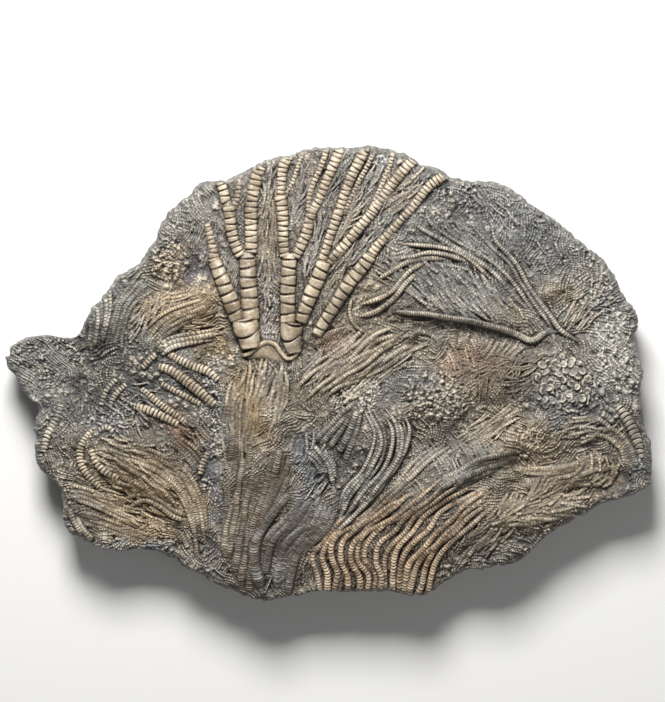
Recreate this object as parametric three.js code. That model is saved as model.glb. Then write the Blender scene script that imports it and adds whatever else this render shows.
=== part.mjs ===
// A crinoid (sea lily) fossil in its slab of matrix: one natural stone, lying on its flat underside.
// The broken rim is a closed outline, the fossil face is a height field of gentle swells and grooves,
// and the underside is one plane. Millimetres, +Z up, origin under the middle of the slab's box.

import * as THREE from "three";
import { mergeVertices } from "three/addons/utils/BufferGeometryUtils.js";

// Driving dimensions.
const LENGTH = 150;
const WIDTH = 106.5;
const BODY_THICKNESS = 12.2;
const UNDERSIDE = 0;

// Fineness of the solid.
const SECTORS = 128;
const FACE_RINGS = 20;

// The place that every sector runs out from, and how far the underside lies inside the widest rim.
const HUB = new THREE.Vector2(0, -15);
const UNDERCUT = 0.045;

// The broken rim seen from above, clockwise from the tip on the left.
const RIM = [
  [-74.8, 4], [-73.5, 7.3], [-66.5, 9], [-60, 8.5], [-56.5, 12.2], [-54, 17], [-50, 21.5],
  [-43, 26.4], [-40.5, 31.5], [-36.4, 38], [-30, 43.6], [-24.5, 45.4], [-16.5, 48.6],
  [-10.3, 50.7], [-3.5, 53.1], [6.5, 52.8], [15.5, 52], [23.5, 48.5], [30, 45.3], [39.5, 43.8],
  [48.5, 38.8], [56, 33.5], [62, 28.5], [65.5, 23.5], [69.3, 17.5], [72, 13.6], [71.3, 8],
  [73.2, 0], [72.2, -7.5], [74.2, -14.5], [75, -22], [73.8, -26.8], [66, -29.7], [60, -32.5],
  [54, -35.5], [47, -42], [40, -44.5], [30, -46.8], [24, -50.8], [20.5, -51.8], [13, -50.3],
  [4, -50.7], [-5, -51.8], [-14, -53], [-22, -50.7], [-30, -46.5], [-37, -43], [-43, -41.2],
  [-52, -41], [-58, -38.4], [-61.6, -34], [-62.7, -27], [-67, -21.5], [-68.5, -13.5],
  [-68, -7.5], [-72.5, -2],
];

// Section of the slab from the middle of the face out over the rim and back under: how far out it
// lies as a share of the way to the rim, and how high as a share of the face's height there.
const RIM_SECTION = [
  [0.985, 0.95], [0.997, 0.84], [1, 0.68], [0.994, 0.42], [0.982, 0.18], [0.968, 0.04],
];

// Swells (rise > 0) and hollows (rise < 0) of the fossil face: middle, reach along and across the
// turned direction, direction in degrees from +X, and height.
const SWELLS = [
  { name: "dome of the slab", at: [4, 2], reach: [66, 44], turn: 0, rise: 1.4 },
  { name: "crown of arms", at: [-12, 17], reach: [22, 11], turn: 82, rise: 2.0 },
  { name: "cup", at: [-15, 2], reach: [10, 7], turn: 100, rise: 0.9 },
  { name: "arm fan at the upper rim", at: [8, 36], reach: [16, 9], turn: 55, rise: 1.0 },
  { name: "sheaf of arms at the left", at: [-35, 12], reach: [11, 6], turn: 25, rise: 1.3 },
  { name: "thumb arms", at: [-33, -3], reach: [9, 5], turn: -35, rise: 0.8 },
  { name: "rib terrace", at: [30, 17], reach: [20, 5], turn: -12, rise: 0.9 },
  { name: "rosette", at: [54, -3], reach: [9, 8], turn: 0, rise: 2.1 },
  { name: "middle nodule", at: [24, -6], reach: [7, 6], turn: 0, rise: 1.7 },
  { name: "strand hub", at: [7, -5], reach: [9, 6], turn: -60, rise: 0.8 },
  { name: "sweeping bundle", at: [36, -25], reach: [16, 4.5], turn: 38, rise: 0.9 },
  { name: "hanging strands", at: [-15, -36], reach: [16, 8], turn: 75, rise: 0.9 },
  { name: "wavy arms", at: [12, -42], reach: [14, 8], turn: -10, rise: 0.6 },
  { name: "left snout", at: [-66, 1], reach: [12, 11], turn: 0, rise: -2.4 },
  { name: "upper right shoulder", at: [54, 24], reach: [16, 11], turn: -45, rise: -1.5 },
  { name: "groove beside the cup", at: [-27, -22], reach: [20, 2.6], turn: 90, rise: -1.3 },
  { name: "hollow between the fans", at: [-3, -22], reach: [9, 5], turn: 80, rise: -1.1 },
  { name: "hollow under the rib terrace", at: [24, 5], reach: [14, 4], turn: -10, rise: -1.1 },
  { name: "lower right field", at: [52, -30], reach: [13, 9], turn: 20, rise: -0.8 },
  { name: "lower left corner", at: [-50, -36], reach: [12, 7], turn: 0, rise: -1.3 },
];

// Height of one swell at a place: a bell, its rise falling off as exp(-r2 / 2).
function swellHeight(swell, x, y) {
  const turn = THREE.MathUtils.degToRad(swell.turn);
  const dx = x - swell.at[0];
  const dy = y - swell.at[1];
  const along = (dx * Math.cos(turn) + dy * Math.sin(turn)) / swell.reach[0];
  const across = (dy * Math.cos(turn) - dx * Math.sin(turn)) / swell.reach[1];
  return swell.rise * Math.exp(-(along * along + across * across) / 2);
}

// Height of the fossil face over the underside.
function faceHeight(x, y) {
  return SWELLS.reduce((height, swell) => height + swellHeight(swell, x, y), BODY_THICKNESS);
}

// The rim as evenly spaced points, moved and scaled so that its box is LENGTH by WIDTH about 0, 0.
function rimPoints() {
  const corners = RIM.map(([x, y]) => new THREE.Vector3(x, y, 0));
  const curve = new THREE.CatmullRomCurve3(corners, true, "centripetal");
  curve.arcLengthDivisions = 1600;
  const points = curve.getSpacedPoints(SECTORS);
  const box = new THREE.Box3().setFromPoints(points);
  const middle = box.getCenter(new THREE.Vector3());
  const size = box.getSize(new THREE.Vector3());
  const scale = new THREE.Vector3(LENGTH / size.x, WIDTH / size.y, 1);
  return points.map((point) => point.sub(middle).multiply(scale));
}

// Section of the slab as (share of the way out, share of the height), from the axis to the axis.
function slabSection() {
  const face = Array.from(
    { length: FACE_RINGS },
    (_, ring) => new THREE.Vector2((0.965 * ring) / (FACE_RINGS - 1), 1),
  );
  const rim = RIM_SECTION.map(([out, height]) => new THREE.Vector2(out, height));
  const foot = new THREE.Vector2(1 - UNDERCUT, UNDERSIDE);
  const middle = new THREE.Vector2(0, UNDERSIDE);
  return [...face, ...rim, foot, middle];
}

// The triangles that still have three different corners: those at the axis close up to a line.
function withoutEmptyTriangles(index) {
  const kept = [];
  for (let i = 0; i < index.length; i += 3) {
    const [a, b, c] = [index[i], index[i + 1], index[i + 2]];
    if (a !== b && b !== c && c !== a) kept.push(a, b, c);
  }
  return kept;
}

// The slab: the section is turned once round the axis, then each sector is stretched out to its own
// point of the rim and each face point lifted to the height of the face there.
function slabGeometry() {
  const rim = rimPoints();
  const section = slabSection();
  const turned = new THREE.LatheGeometry(section, SECTORS);
  turned.deleteAttribute("normal");
  turned.deleteAttribute("uv");
  const position = turned.getAttribute("position");
  for (let i = 0; i < position.count; i += 1) {
    const sector = Math.floor(i / section.length) % SECTORS;
    const { x: out, y: height } = section[i % section.length];
    const x = HUB.x + out * (rim[sector].x - HUB.x);
    const y = HUB.y + out * (rim[sector].y - HUB.y);
    position.setXYZ(i, x, y, height * faceHeight(x, y));
  }
  const closed = mergeVertices(turned, 1e-4);
  closed.setIndex(withoutEmptyTriangles(closed.index.array));
  closed.computeVertexNormals();
  return closed;
}

const stone = new THREE.MeshStandardMaterial({ color: 0x8c8578, roughness: 0.62, metalness: 0 });
const slab = new THREE.Mesh(slabGeometry(), stone);
slab.name = "fossil_slab";

const fossil = new THREE.Group();
fossil.add(slab);

export default fossil;
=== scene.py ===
"""A crinoid fossil in its slab of matrix, lying on its flat underside.

The slab is one stone with a split face. The face is worked out as a cast: fine maps of how high each
spot stands over the smooth ground, and what colours it. The crown's jointed arms, sheaves of ribbed
strands, fields of pinnules and crusts of loose ossicles are pressed into the cast one after another,
silt fills what is left, and blocks of mesh are raised to it. Tables are in millimetres, meshes in
metres.
"""

import logging
import math
from dataclasses import dataclass, field
from enum import Enum

import bpy
import numpy as np
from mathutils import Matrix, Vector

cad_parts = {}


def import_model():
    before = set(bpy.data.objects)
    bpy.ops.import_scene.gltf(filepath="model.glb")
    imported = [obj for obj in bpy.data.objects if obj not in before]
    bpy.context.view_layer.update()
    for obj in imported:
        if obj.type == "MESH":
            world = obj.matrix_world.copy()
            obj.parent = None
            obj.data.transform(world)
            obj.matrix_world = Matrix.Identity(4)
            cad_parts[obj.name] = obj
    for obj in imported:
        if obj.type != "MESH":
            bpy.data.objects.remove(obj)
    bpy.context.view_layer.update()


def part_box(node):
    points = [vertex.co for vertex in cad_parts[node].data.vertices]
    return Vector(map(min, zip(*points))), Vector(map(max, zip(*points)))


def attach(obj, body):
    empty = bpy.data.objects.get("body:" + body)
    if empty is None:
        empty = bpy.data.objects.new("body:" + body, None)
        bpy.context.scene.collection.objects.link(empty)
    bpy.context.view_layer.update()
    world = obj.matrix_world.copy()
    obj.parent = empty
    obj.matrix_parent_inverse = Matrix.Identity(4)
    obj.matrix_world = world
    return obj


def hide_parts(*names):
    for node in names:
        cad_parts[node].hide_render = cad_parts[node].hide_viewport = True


MM = 0.001
BODY = "root"
SLAB_NODE = "fossil_slab"
BAKE_MAP = "OFBake"
LOG = logging.getLogger("crinoid")

Point = tuple[float, float]
Route = tuple[Point, ...]


class Tone(Enum):
    """Colours of the stone as sRGB hex, each named for where it shows."""

    MATRIX_GREY = "#7d7b75"
    BLUE_GREY = "#72757a"
    DEEP_GREY = "#55534e"
    # Not a colour of the stone: the near-black of the painted shade in grooves and hollows.
    SHADOW = "#17130f"
    PLATE_GOLD = "#94826a"
    WAVE_GOLD = "#9c7f5e"
    WORN_CREAM = "#dccfb6"
    STRAND_TAN = "#8a7a62"
    STRAND_GREY = "#736e62"
    HONEY = "#b29b78"
    OCHRE = "#94753f"
    RUST = "#83583a"
    UMBER = "#66553f"
    ROSE = "#978577"
    PALE_GRIT = "#aeaba2"
    VIOLET = "#4c4852"


def linear_rgb(tone: Tone) -> np.ndarray:
    """Turn a tone's sRGB hex into linear light.

    Args:
        tone: The named colour.

    Returns:
        Three linear values from 0 to 1.
    """
    srgb = np.array([int(tone.value[i : i + 2], 16) for i in (1, 3, 5)]) / 255.0
    return np.where(srgb <= 0.04045, srgb / 12.92, ((srgb + 0.055) / 1.055) ** 2.4)


# ---------------------------------------------------------------------------------------- noise


def corner_value(ix: np.ndarray, iy: np.ndarray, seed: int) -> np.ndarray:
    """Give each whole-number grid corner a fixed pseudo-random number from 0 to 1.

    Args:
        ix: Corner columns.
        iy: Corner rows.
        seed: Which pattern.

    Returns:
        The numbers, by mixing the bits of column, row and seed.
    """
    mask = np.int64(0xFFFFFFFF)
    mixed = (ix.astype(np.int64) * 374761393 + iy.astype(np.int64) * 668265263 + seed * 974634777) & mask
    mixed = ((mixed ^ (mixed >> 13)) * 1274126177) & mask
    return (mixed ^ (mixed >> 16)) / float(mask)


def smooth_noise(x: np.ndarray, y: np.ndarray, seed: int) -> np.ndarray:
    """Value noise of period 1, from -1 to 1: corner numbers blended by 6t^5 - 15t^4 + 10t^3.

    Args:
        x: First coordinate.
        y: Second coordinate.
        seed: Which pattern.

    Returns:
        The noise at each place.
    """
    ix, iy = np.floor(x), np.floor(y)
    tx, ty = x - ix, y - iy
    tx, ty = (t * t * t * (t * (t * 6 - 15) + 10) for t in (tx, ty))
    low = corner_value(ix, iy, seed) * (1 - tx) + corner_value(ix + 1, iy, seed) * tx
    high = corner_value(ix, iy + 1, seed) * (1 - tx) + corner_value(ix + 1, iy + 1, seed) * tx
    return 2 * (low * (1 - ty) + high * ty) - 1


def rough_noise(x: np.ndarray, y: np.ndarray, period: float, octaves: int, seed: int) -> np.ndarray:
    """Sum of smooth noises, each half as long and half as high as the one before, about -1 to 1.

    Args:
        x: First coordinate, mm.
        y: Second coordinate, mm.
        period: Period of the longest noise, mm.
        octaves: How many noises.
        seed: Which pattern.

    Returns:
        The noise at each place.
    """
    total = np.zeros(np.broadcast(x, y).shape)
    for octave in range(octaves):
        turn = 0.6 + 1.7 * octave
        u = (x * math.cos(turn) + y * math.sin(turn)) * 2**octave / period
        v = (y * math.cos(turn) - x * math.sin(turn)) * 2**octave / period
        total = total + smooth_noise(u, v, seed + octave) * 0.55**octave
    return total


def pebbles(x: np.ndarray, y: np.ndarray, size: float, seed: int) -> tuple[np.ndarray, np.ndarray]:
    """Cells about scattered points: a pebble is high in its middle and 0 along its joints.

    Args:
        x: First coordinate, mm.
        y: Second coordinate, mm.
        size: Pebble size, mm.
        seed: Which pattern.

    Returns:
        Pebble height (second-nearest less nearest distance, 0 to about 1), and each pebble's number.
    """
    u, v = x / size, y / size
    cu, cv = np.floor(u), np.floor(v)
    near = np.full(u.shape, 9.0)
    second = np.full(u.shape, 9.0)
    number = np.zeros(u.shape)
    for du in (-1, 0, 1):
        for dv in (-1, 0, 1):
            pu = cu + du + corner_value(cu + du, cv + dv, seed)
            pv = cv + dv + corner_value(cu + du, cv + dv, seed + 7)
            away = np.hypot(u - pu, v - pv)
            own = corner_value(cu + du, cv + dv, seed + 13)
            closer = away < near
            second = np.where(closer, near, np.minimum(second, away))
            number = np.where(closer, own, number)
            near = np.where(closer, away, near)
    return np.clip(second - near, 0, 1), number


def smooth_step(low: float, high: float, value: np.ndarray) -> np.ndarray:
    """Rise from 0 at low to 1 at high along 3t^2 - 2t^3."""
    t = np.clip((value - low) / (high - low), 0, 1)
    return t * t * (3 - 2 * t)


# --------------------------------------------------------------------------- the face's shape


@dataclass(frozen=True)
class Swell:
    """A bell-shaped rise or hollow of the face.

    Attributes:
        at: Middle, mm.
        reach: Reach along and across the turned direction, mm.
        turn: Direction, degrees from +X.
        rise: Height, mm; negative for a hollow.
    """

    at: Point
    reach: Point
    turn: float
    rise: float

    def spread(self, x: np.ndarray, y: np.ndarray) -> np.ndarray:
        """Squared distance from the middle, in reaches."""
        turn = math.radians(self.turn)
        dx, dy = x - self.at[0], y - self.at[1]
        along = (dx * math.cos(turn) + dy * math.sin(turn)) / self.reach[0]
        across = (dy * math.cos(turn) - dx * math.sin(turn)) / self.reach[1]
        return along * along + across * across

    def height(self, x: np.ndarray, y: np.ndarray) -> np.ndarray:
        """Rise times exp(-r2 / 2)."""
        return self.rise * np.exp(-self.spread(x, y) / 2)


BODY_THICKNESS = 12.2
SINK = 0.9
HUB = np.array([0.0, -15.0])

SWELLS = (
    Swell((4, 2), (66, 44), 0, 1.4),
    Swell((-12, 17), (22, 11), 82, 2.0),
    Swell((-15, 2), (10, 7), 100, 0.9),
    Swell((8, 36), (16, 9), 55, 1.0),
    Swell((-35, 12), (11, 6), 25, 1.3),
    Swell((-33, -3), (9, 5), -35, 0.8),
    Swell((30, 17), (20, 5), -12, 0.9),
    Swell((54, -3), (9, 8), 0, 2.1),
    Swell((24, -6), (7, 6), 0, 1.7),
    Swell((7, -5), (9, 6), -60, 0.8),
    Swell((36, -25), (16, 4.5), 38, 0.9),
    Swell((-15, -36), (16, 8), 75, 0.9),
    Swell((12, -42), (14, 8), -10, 0.6),
    Swell((-66, 1), (12, 11), 0, -2.4),
    Swell((54, 24), (16, 11), -45, -1.5),
    Swell((-27, -22), (20, 2.6), 90, -1.3),
    Swell((-3, -22), (9, 5), 80, -1.1),
    Swell((24, 5), (14, 4), -10, -1.1),
    Swell((52, -30), (13, 9), 20, -0.8),
    Swell((-50, -36), (12, 7), 0, -1.3),
)

# Gentler folds that only the visual mesh has.
FOLDS = (
    Swell((24.5, -5.8), (9.4, 7.8), -10, -1.9),
    Swell((24.5, -5.8), (5.2, 4.3), -10, 2.6),
    Swell((54.5, -3), (10.5, 9.5), 0, -0.9),
    Swell((54.5, -3), (6, 5.5), 0, 1.0),
    Swell((31, 9.6), (15, 1.5), -9, -1.0),
    Swell((30, 14.2), (15, 1.6), -8, 0.5),
    Swell((31, -23.4), (12, 2.0), 33, 1.3),
    Swell((30, -28.4), (12, 1.7), 35, -0.9),
    Swell((-31, 16), (7, 3.6), 25, 1.2),
    Swell((-24.8, 13), (1.5, 7), 12, -1.1),
    Swell((-50, -5), (8, 6), 0, -1.1),
    Swell((-50.5, 13), (10, 2.2), 62, 1.2),
    Swell((-44.5, 10), (9, 2.2), 60, -1.0),
    Swell((-17, -4), (3.6, 9), 4, 1.0),
    Swell((-10.4, -4), (1.6, 8), 14, -0.8),
    Swell((-40, -27), (12, 2.6), -38, 0.9),
    Swell((-47, -31), (10, 2.0), -24, -0.6),
    Swell((66, 3), (3.6, 8), 0, 0.9),
    Swell((47, -15.5), (6.5, 3.4), 15, 1.1),
    Swell((46, -20.4), (9, 1.5), 8, -0.9),
    Swell((48, -30.6), (10, 3), 18, 1.1),
    Swell((58, -27.6), (8, 1.4), 14, -0.8),
    Swell((29, -18), (8, 2.4), 14, -0.6),
    Swell((2, -20), (3, 9), 8, -0.5),
    Swell((11, -19), (3.4, 9), -8, 0.8),
    Swell((36, -2), (6, 5), 0, 0.8),
    Swell((43, 22), (3, 12), 38, -0.7),
    Swell((52, 27), (4, 9), 42, 0.7),
    Swell((1, -3), (9, 2.2), 38, 0.7),
    Swell((-34, 33), (6, 6), 0, 0.9),
)

RIM = (
    (-74.8, 4), (-73.5, 7.3), (-66.5, 9), (-60, 8.5), (-56.5, 12.2), (-54, 17), (-50, 21.5),
    (-43, 26.4), (-40.5, 31.5), (-36.4, 38), (-30, 43.6), (-24.5, 45.4), (-16.5, 48.6),
    (-10.3, 50.7), (-3.5, 53.1), (6.5, 52.8), (15.5, 52), (23.5, 48.5), (30, 45.3), (39.5, 43.8),
    (48.5, 38.8), (56, 33.5), (62, 28.5), (65.5, 23.5), (69.3, 17.5), (72, 13.6), (71.3, 8),
    (73.2, 0), (72.2, -7.5), (74.2, -14.5), (75, -22), (73.8, -26.8), (66, -29.7), (60, -32.5),
    (54, -35.5), (47, -42), (40, -44.5), (30, -46.8), (24, -50.8), (20.5, -51.8), (13, -50.3),
    (4, -50.7), (-5, -51.8), (-14, -53), (-22, -50.7), (-30, -46.5), (-37, -43), (-43, -41.2),
    (-52, -41), (-58, -38.4), (-61.6, -34), (-62.7, -27), (-67, -21.5), (-68.5, -13.5),
    (-68, -7.5), (-72.5, -2),
)  # fmt: skip


def spline(points: Route, closed: bool = False, steps: int = 24) -> np.ndarray:
    """Centripetal Catmull-Rom curve through the points.

    Args:
        points: Points to pass through, mm.
        closed: Whether the last point runs on to the first.
        steps: Curve points for each stretch between two points.

    Returns:
        Curve points, one row each; a closed curve doesn't repeat its first point.
    """
    knots = np.asarray(points, float)
    if closed:
        ends = np.vstack([knots[-1:], knots, knots[:2]])
    else:
        ends = np.vstack([2 * knots[:1] - knots[1:2], knots, 2 * knots[-1:] - knots[-2:-1]])
    p0, p1, p2, p3 = ends[:-3], ends[1:-2], ends[2:-1], ends[3:]
    gaps = [np.sqrt(np.linalg.norm(b - a, axis=1)) + 1e-9 for a, b in ((p0, p1), (p1, p2), (p2, p3))]
    t1, t2, t3 = gaps[0], gaps[0] + gaps[1], gaps[0] + gaps[1] + gaps[2]
    share = np.arange(steps) / steps
    t = (t1[:, None] + share[None, :] * gaps[1][:, None])[..., None]
    t1, t2, t3 = (k[:, None, None] for k in (t1, t2, t3))
    q0, q1, q2, q3 = (q[:, None, :] for q in (p0, p1, p2, p3))
    a1 = (t1 - t) / t1 * q0 + t / t1 * q1
    a2 = (t2 - t) / (t2 - t1) * q1 + (t - t1) / (t2 - t1) * q2
    a3 = (t3 - t) / (t3 - t2) * q2 + (t - t2) / (t3 - t2) * q3
    b1 = (t2 - t) / t2 * a1 + t / t2 * a2
    b2 = (t3 - t) / (t3 - t1) * a2 + (t - t1) / (t3 - t1) * a3
    curve = ((t2 - t) / (t2 - t1) * b1 + (t - t1) / (t2 - t1) * b2).reshape(-1, knots.shape[1])
    return curve if closed else np.vstack([curve, knots[-1:]])


def along_curve(curve: np.ndarray, distance: np.ndarray) -> np.ndarray:
    """Points of an open curve at the given distances from its start, in its own units."""
    reach = np.concatenate([[0.0], np.cumsum(np.linalg.norm(np.diff(curve, axis=0), axis=1))])
    return np.stack([np.interp(distance, reach, curve[:, k]) for k in range(curve.shape[1])], axis=-1)


def curve_length(curve: np.ndarray) -> float:
    """Length of an open curve."""
    return float(np.linalg.norm(np.diff(curve, axis=0), axis=1).sum())


@dataclass
class Ground:
    """The face that everything lies on, without its grit.

    Attributes:
        low: Lowest corner of the slab's box, mm.
        high: Highest corner of the slab's box, mm.
    """

    low: np.ndarray
    high: np.ndarray
    rim_curve: np.ndarray = field(init=False)

    def __post_init__(self) -> None:
        """Fit the rim's box to the slab's box."""
        curve = spline(RIM, closed=True)
        low, high = curve.min(0), curve.max(0)
        self.rim_curve = self.low[:2] + (curve - low) / (high - low) * (self.high[:2] - self.low[:2])

    def rim(self, share: np.ndarray) -> np.ndarray:
        """Points of the rim at shares of its length, clockwise from the left tip."""
        closed = np.vstack([self.rim_curve, self.rim_curve[:1]])
        return along_curve(closed, (share % 1.0) * curve_length(closed))

    def outward(self, share: np.ndarray) -> np.ndarray:
        """Unit directions square to the rim and away from the slab, at shares of its length."""
        run = self.rim(share + 0.002) - self.rim(share - 0.002)
        return np.stack([-run[:, 1], run[:, 0]], -1) / np.linalg.norm(run, axis=1, keepdims=True)

    def inside(self, spots: np.ndarray, margin: float) -> np.ndarray:
        """Whether each place lies inside the rim by more than the margin, mm: nearest rim point and
        the number of times a ray to the right crosses the rim."""
        start, end = self.rim_curve[::4], np.roll(self.rim_curve[::4], -1, axis=0)
        away = np.hypot(*(spots[:, None, :] - start[None]).transpose(2, 0, 1)).min(1)
        y = spots[:, 1:2]
        spans = (start[None, :, 1] > y) != (end[None, :, 1] > y)
        slope = (end[:, 0] - start[:, 0]) / np.where(end[:, 1] == start[:, 1], 1e-9, end[:, 1] - start[:,
            1])
        crossing = spots[:, 0:1] < start[None, :, 0] + slope[None] * (y - start[None, :, 1])
        return ((spans & crossing).sum(1) % 2 == 1) & (away > margin)

    def swells(self, x: np.ndarray, y: np.ndarray) -> np.ndarray:
        """Body thickness plus every swell, as the solid of the slab has it."""
        return BODY_THICKNESS + sum(swell.height(x, y) for swell in SWELLS)

    def height(self, x: np.ndarray, y: np.ndarray) -> np.ndarray:
        """Swells and folds, plus lumps 11 mm and 4 mm long."""
        folds = sum(fold.height(x, y) for fold in FOLDS)
        lumps = 0.55 * rough_noise(x, y, 11.0, 3, 11) + 0.26 * smooth_noise(x / 3.9, y / 3.9, 19)
        return self.swells(x, y) + folds + lumps - SINK


# ------------------------------------------------------------------------------- the colouring


@dataclass(frozen=True)
class Patch:
    """A stain or a bed of one tone: full in its middle, gone by about one and a half reaches."""

    tone: Tone
    at: Point
    reach: Point
    turn: float = 0.0
    strength: float = 0.8


PATCHES = (
    Patch(Tone.STRAND_TAN, (8, -4), (34, 20), 20, 0.55),
    Patch(Tone.UMBER, (14, -38), (34, 12), 8, 0.55),
    Patch(Tone.STRAND_TAN, (-44, -26), (20, 13), -20, 0.5),
    Patch(Tone.PLATE_GOLD, (-8, 28), (20, 24), 0, 0.35),
    # Over the hollow at the left end: the deep grey is partly the rock's own colour and partly painted
    # shade, the near-black patch is painted shade.
    Patch(Tone.DEEP_GREY, (-56, 0), (8, 14), 10, 0.9),
    Patch(Tone.SHADOW, (-54.5, 1), (6, 9), 5, 0.3),
    Patch(Tone.DEEP_GREY, (-48, -4), (11, 10), 0, 0.95),
    Patch(Tone.BLUE_GREY, (-52, -11.5), (6, 3), 10, 0.7),
    Patch(Tone.MATRIX_GREY, (-67, 3), (7, 5), 0, 0.6),
    Patch(Tone.UMBER, (-44, -24), (17, 12), -10, 0.4),
    Patch(Tone.STRAND_TAN, (-45, -28), (13, 9), -25, 0.7),
    Patch(Tone.HONEY, (-43, -31), (9, 5), -25, 0.4),
    Patch(Tone.OCHRE, (-41, -29), (11, 8), -30, 0.4),
    Patch(Tone.HONEY, (-33, 16), (10, 6), 20, 1.0),
    Patch(Tone.OCHRE, (-28.5, 10), (4, 6), 10, 0.5),
    Patch(Tone.OCHRE, (-26.5, 6.5), (2.6, 3), 0, 0.75),
    Patch(Tone.UMBER, (-36.5, 26), (6, 5), 35, 0.5),
    Patch(Tone.PLATE_GOLD, (-36, 25.5), (3.5, 2.5), 35, 0.5),
    Patch(Tone.VIOLET, (-30, 24), (2.6, 2.6), 0, 0.8),
    Patch(Tone.RUST, (-35, -12.5), (3.6, 2.4), -20, 0.7),
    Patch(Tone.DEEP_GREY, (-28, 0), (2.0, 9), 0, 0.5),
    Patch(Tone.HONEY, (-17.5, -5), (4.5, 9), 5, 0.7),
    Patch(Tone.PALE_GRIT, (-12.5, -3), (3.6, 7), 0, 0.6),
    Patch(Tone.OCHRE, (-17, -9), (3.5, 5), 5, 0.3),
    Patch(Tone.UMBER, (-17, -35), (9, 17), 8, 0.55),
    Patch(Tone.BLUE_GREY, (-27, -20), (1.8, 19), 0, 0.7),
    Patch(Tone.BLUE_GREY, (-43, -40), (6.5, 2.2), -3, 0.85),
    Patch(Tone.ROSE, (-5, 46), (2.6, 4), 0, 0.6),
    Patch(Tone.ROSE, (15.5, 42), (3, 5), 40, 0.6),
    Patch(Tone.UMBER, (-13, 34), (3, 8), 0, 0.45),
    Patch(Tone.ROSE, (-13.5, 15), (2.5, 5), 0, 0.5),
    Patch(Tone.STRAND_TAN, (10, 19), (6, 5), 30, 0.6),
    Patch(Tone.RUST, (1.5, 9.5), (4, 3), 30, 0.5),
    Patch(Tone.STRAND_TAN, (6, 2), (15, 7), 35, 0.55),
    Patch(Tone.BLUE_GREY, (17.5, -1), (4.6, 5), 10, 0.5),
    Patch(Tone.DEEP_GREY, (18, -1.5), (5, 3.6), 10, 0.8),
    Patch(Tone.DEEP_GREY, (4, -21), (11, 10), 0, 0.8),
    Patch(Tone.PALE_GRIT, (6, -6), (7, 5), 20, 0.4),
    Patch(Tone.BLUE_GREY, (-5, -22), (3, 7), -10, 0.8),
    Patch(Tone.UMBER, (10, -42), (18, 8), 0, 0.8),
    Patch(Tone.STRAND_TAN, (50, -12), (20, 16), 0, 0.5),
    Patch(Tone.HONEY, (46, -20), (12, 3), 8, 0.4),
    Patch(Tone.UMBER, (37, -2), (9, 7), 0, 0.85),
    Patch(Tone.RUST, (31, 3), (5, 3.5), 0, 0.45),
    Patch(Tone.STRAND_TAN, (45, 13), (5, 3), -35, 0.5),
    Patch(Tone.DEEP_GREY, (27, 21), (13, 5), -18, 0.5),
    Patch(Tone.STRAND_TAN, (54.5, 19), (4.5, 2.6), -20, 0.75),
    Patch(Tone.STRAND_TAN, (47, 3), (5, 3), 20, 0.5),
    Patch(Tone.BLUE_GREY, (54, -7), (10, 7), 0, 0.7),
    Patch(Tone.DEEP_GREY, (45.5, -7), (3, 6), 0, 0.5),
    Patch(Tone.PALE_GRIT, (53.6, -2.6), (5, 5), 0, 0.4),
    Patch(Tone.PALE_GRIT, (67, 5), (5, 9), 0, 0.8),
    Patch(Tone.STRAND_TAN, (40, -13), (8, 3.6), 20, 0.6),
    Patch(Tone.PALE_GRIT, (28.5, -18.5), (8, 3), 14, 0.5),
    Patch(Tone.DEEP_GREY, (34, -25), (13, 3.2), 36, 0.7),
    Patch(Tone.STRAND_TAN, (47, -31), (12, 7), 15, 0.75),
    Patch(Tone.HONEY, (47, -15.5), (7, 3.6), 15, 0.5),
    Patch(Tone.UMBER, (57, -24), (10, 4), 8, 0.7),
    Patch(Tone.UMBER, (67, -22), (4, 5), 0, 0.7),
    Patch(Tone.DEEP_GREY, (71.5, -20), (3.4, 7), 0, 0.8),
    Patch(Tone.DEEP_GREY, (44, -41), (14, 3), 22, 0.7),
    Patch(Tone.BLUE_GREY, (44, 36), (10, 6), -30, 0.4),
)


def face_tint(x: np.ndarray, y: np.ndarray) -> np.ndarray:
    """Colour of the rock at a place: grey, with each patch laid over it, its edge made ragged.

    Args:
        x: First coordinate, mm.
        y: Second coordinate, mm.

    Returns:
        Linear colours, one row each.
    """
    wander_x = x + 2.2 * rough_noise(x, y, 7.0, 3, 31)
    wander_y = y + 2.2 * rough_noise(x, y, 7.0, 3, 41)
    tint = np.broadcast_to(linear_rgb(Tone.MATRIX_GREY), (*x.shape, 3)).copy()
    for patch in PATCHES:
        spread = Swell(patch.at, patch.reach, patch.turn, 1.0).spread(wander_x, wander_y)
        share = (patch.strength * np.exp(-0.7 * spread**1.5))[..., None]
        tint = tint * (1 - share) + linear_rgb(patch.tone) * share
    drift = 1 + 0.13 * rough_noise(x, y, 5.0, 3, 51)
    return tint * drift[..., None]


# ----------------------------------------------------------------------------------- the cast


def blur(layer: np.ndarray, reach: int) -> np.ndarray:
    """Mean of a map within reach cells either way, taken twice along each axis.

    Args:
        layer: The map.
        reach: Half the window, cells.

    Returns:
        The smoothed map.
    """
    for _ in range(2):
        for axis in (0, 1):
            pad = [(reach + 1, reach) if a == axis else (0, 0) for a in (0, 1)]
            total = np.cumsum(np.pad(layer, pad, mode="edge"), axis)
            ahead = np.take(total, np.arange(2 * reach + 1, total.shape[axis]), axis)
            behind = np.take(total, np.arange(0, total.shape[axis] - 2 * reach - 1), axis)
            layer = (ahead - behind) / (2 * reach + 1)
    return layer


def sides(middle: np.ndarray) -> np.ndarray:
    """Unit directions to the right of a line of points."""
    run = np.gradient(middle, axis=0)
    run = run / (np.linalg.norm(run, axis=1, keepdims=True) + 1e-12)
    return np.stack([run[:, 1], -run[:, 0]], axis=-1)


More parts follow.
